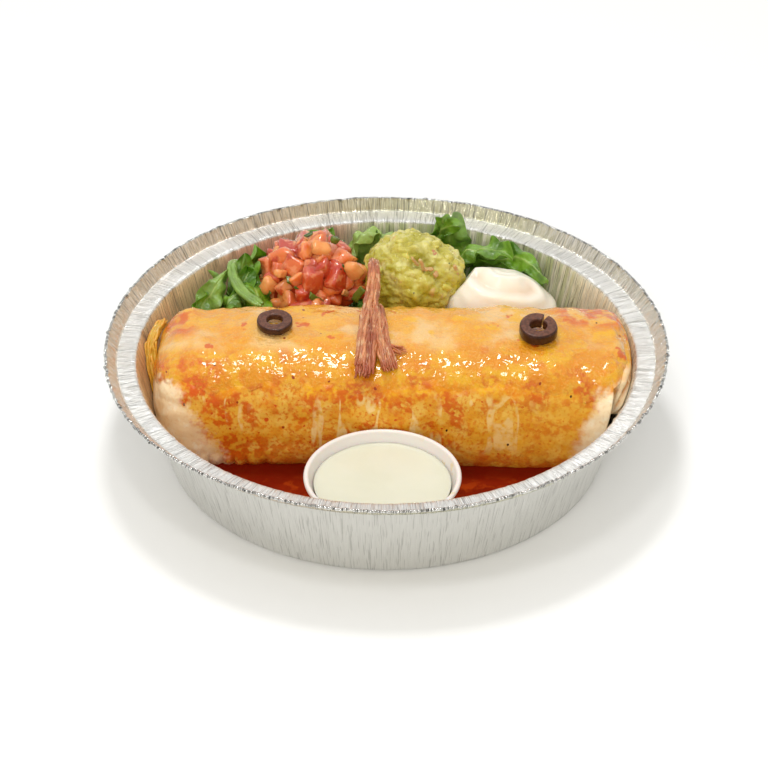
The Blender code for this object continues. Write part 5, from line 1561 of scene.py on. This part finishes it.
def makeCup():
    s = cupSizes
    f = Finish("whitePlastic", {"Roughness": 0.32, "Subsurface Weight": 0.15, "Subsurface Scale": 0.002})
    x, y, z = f.axes()
    smear = f.times(f.patches(160, 0.60, 0.68, 4.0), f.ramp(x, 0.010, 0.022))
    f.set("Base Color", f.mix(f.times(smear, 0.55), (0.80, 0.745, 0.705), (0.80, 0.58, 0.22)))
    f.relief(300, 0.08, 0.0003, 2.0)
    high, foot, mouth, lip, wall = s["height"], s["foot"], s["mouth"], s["lip"], s["wall"]
    outline = [(0.004, 0.0006), (foot - 0.0030, 0.0006), (foot - 0.0018, 0.0), (foot - 0.0004, 0.0),
               (foot, 0.0003), (foot + 0.0004, 0.0012)]
    for i in range(1, 9):
        t = i / 8
        outline.append((foot + 0.0004 + (mouth + wall - foot - 0.0004) * t, 0.0012 + (high - 0.0032) * t))
    rollMiddle, roll = (mouth + lip) / 2 + 0.0002, (lip - mouth) / 2 - 0.0002
    for i in range(15):
        a = math.radians(-70 + 250 * i / 14)
        outline.append((rollMiddle + roll * math.cos(a), high - roll + roll * math.sin(a)))
    for i in range(8):
        t = 1 - (i + 0.4) / 8
        outline.append((foot - 0.0004 + (mouth - foot) * t, 0.0024 + (high - 0.0054) * t))
    outline += [(foot - 0.0012, 0.0015), (foot - 0.0026, 0.0012), (0.004, 0.0012)]
    cup = turnedPiece("dipCup", outline, f.material, s["segments"], (s["x"], s["y"], s["z"]))
    place(cup, "white_plastic", "dip_cup")
    level = high - s["dipBelow"]
    slope = (mouth - foot) / (high - 0.0054)
    edge = foot - 0.0006 + slope * (level - 0.0024)
    d = Finish("whiteDip", {"Roughness": 0.30, "Subsurface Weight": 0.3, "Subsurface Scale": 0.004,
                            "Subsurface Radius": (1.0, 0.9, 0.6), "Coat Weight": 0.12,
                            "Coat Roughness": 0.15})
    tone = d.mix(d.patches(45, 0.4, 0.6, 3.0), (0.70, 0.690, 0.545), (0.72, 0.705, 0.565))
    d.set("Base Color", tone)
    d.relief(160, 0.12, 0.0005, 3.0)
    outline = [(0.004, 0.0016), (foot - 0.0028, 0.0016), (foot - 0.0012, 0.0030)]
    outline += [(foot - 0.0009 + slope * (level - 0.0030) * t, 0.0030 + (level - 0.0030) * t)
                for t in (0.5, 1.0)]
    outline += [(edge - 0.0004, level + 0.0004), (edge - 0.0012, level + 0.0001)]
    outline += [(edge * t, level - 0.0001) for t in (0.90, 0.78, 0.64, 0.5, 0.36, 0.24, 0.12, 0.05, 0.02)]

    def ripple(points):
        inside = points[:, 2] > s["z"] + level - 0.0005
        seen = points * [1, 1, 0]
        points[:, 2] += np.where(inside, 0.00028 * lumps(seen, 75, 2.0) + 0.00008 * lumps(seen, 260), 0)
        return points

    dip = turnedPiece("whiteDip", outline, d.material, s["segments"], (s["x"], s["y"], s["z"]), ripple)
    place(dip, "queso_blanco", "white_dip")


# build it all

makePan()
print("pan made")
makeTortilla()
makeFlap()
makeCheese()
print("burrito made")
olive = oliveFinish()
makeOlive("oliveLeft", oliveSizes["left"], olive)
makeOlive("oliveRight", oliveSizes["right"], olive)
makeBeef()
makeCheeseStrings()
print("toppings made")
makeSalsa()
makeGuacamole()
makeCream()
print("scoops made")
makeLettuce()
print("lettuce made")
makeSauce()
makeCup()
print("sauce and cup made")


# floor, light and camera

lightSizes = {
    "key": {"place": (-0.06, 0.20, 1.00), "size": 0.17, "power": 2.9, "seen": True},
    "spark": {"place": (-0.10, -0.42, 0.98), "size": 0.15, "power": 1.3, "seen": True},
    # fill alone, no reflection of its own
    "front": {"place": (-0.14, -1.05, 0.62), "size": 0.60, "power": 4.7, "seen": False},
}
cameraSizes = {"elevation": 34.3, "distance": 1.5, "target": (0, 0, 0.0435), "lens": 171.47,
               "shiftX": -0.0026, "shiftY": -0.0395}

bpy.ops.mesh.primitive_plane_add(size=6.0, location=(0, 0, 0))
floor = bpy.context.object
floor.name = "floor"
floorFinish = Finish("paleFloor", {"Base Color": (0.92, 0.92, 0.915, 1), "Roughness": 0.75})
floor.data.materials.append(floorFinish.material)

for name, s in lightSizes.items():
    lamp = bpy.data.lights.new(name, "AREA")
    lamp.size, lamp.energy = s["size"], s["power"]
    made = bpy.data.objects.new(name, lamp)
    made.location = s["place"]
    made.visible_glossy = s["seen"]
    made.rotation_euler = (Vector((0, 0, 0.03)) - Vector(s["place"])).to_track_quat("-Z", "Y").to_euler()
    bpy.context.scene.collection.objects.link(made)

world = bpy.data.worlds.new("studio")
world.use_nodes = True
sky = NodeKit(world.node_tree, addNode(world.node_tree, "ShaderNodeTexCoord").outputs["Generated"])
right, back, up = sky.axes()
lean = sky.linear(back, 0.8, sky.product(up, 0.6))
# darker room in front, bright behind
glow = sky.mix(sky.ramp(lean, -0.45, 0.60), (0.70, 0.64, 0.50), (0.97, 0.97, 0.96))
world.node_tree.links.new(glow, world.node_tree.nodes["Background"].inputs["Color"])
world.node_tree.nodes["Background"].inputs["Strength"].default_value = 0.84
bpy.context.scene.world = world
bpy.context.scene.view_settings.view_transform = "Standard"

c = cameraSizes
tilt = math.radians(c["elevation"])
lens = bpy.data.cameras.new("camera")
lens.lens, lens.sensor_width, lens.shift_x, lens.shift_y = c["lens"], 36.0, c["shiftX"], c["shiftY"]
camera = bpy.data.objects.new("camera", lens)
camera.location = Vector(c["target"]) + c["distance"] * Vector((0, -math.cos(tilt), math.sin(tilt)))
camera.rotation_euler = (math.radians(90) - tilt, 0, 0)
bpy.context.scene.collection.objects.link(camera)
bpy.context.scene.camera = camera
print("lights and camera set")
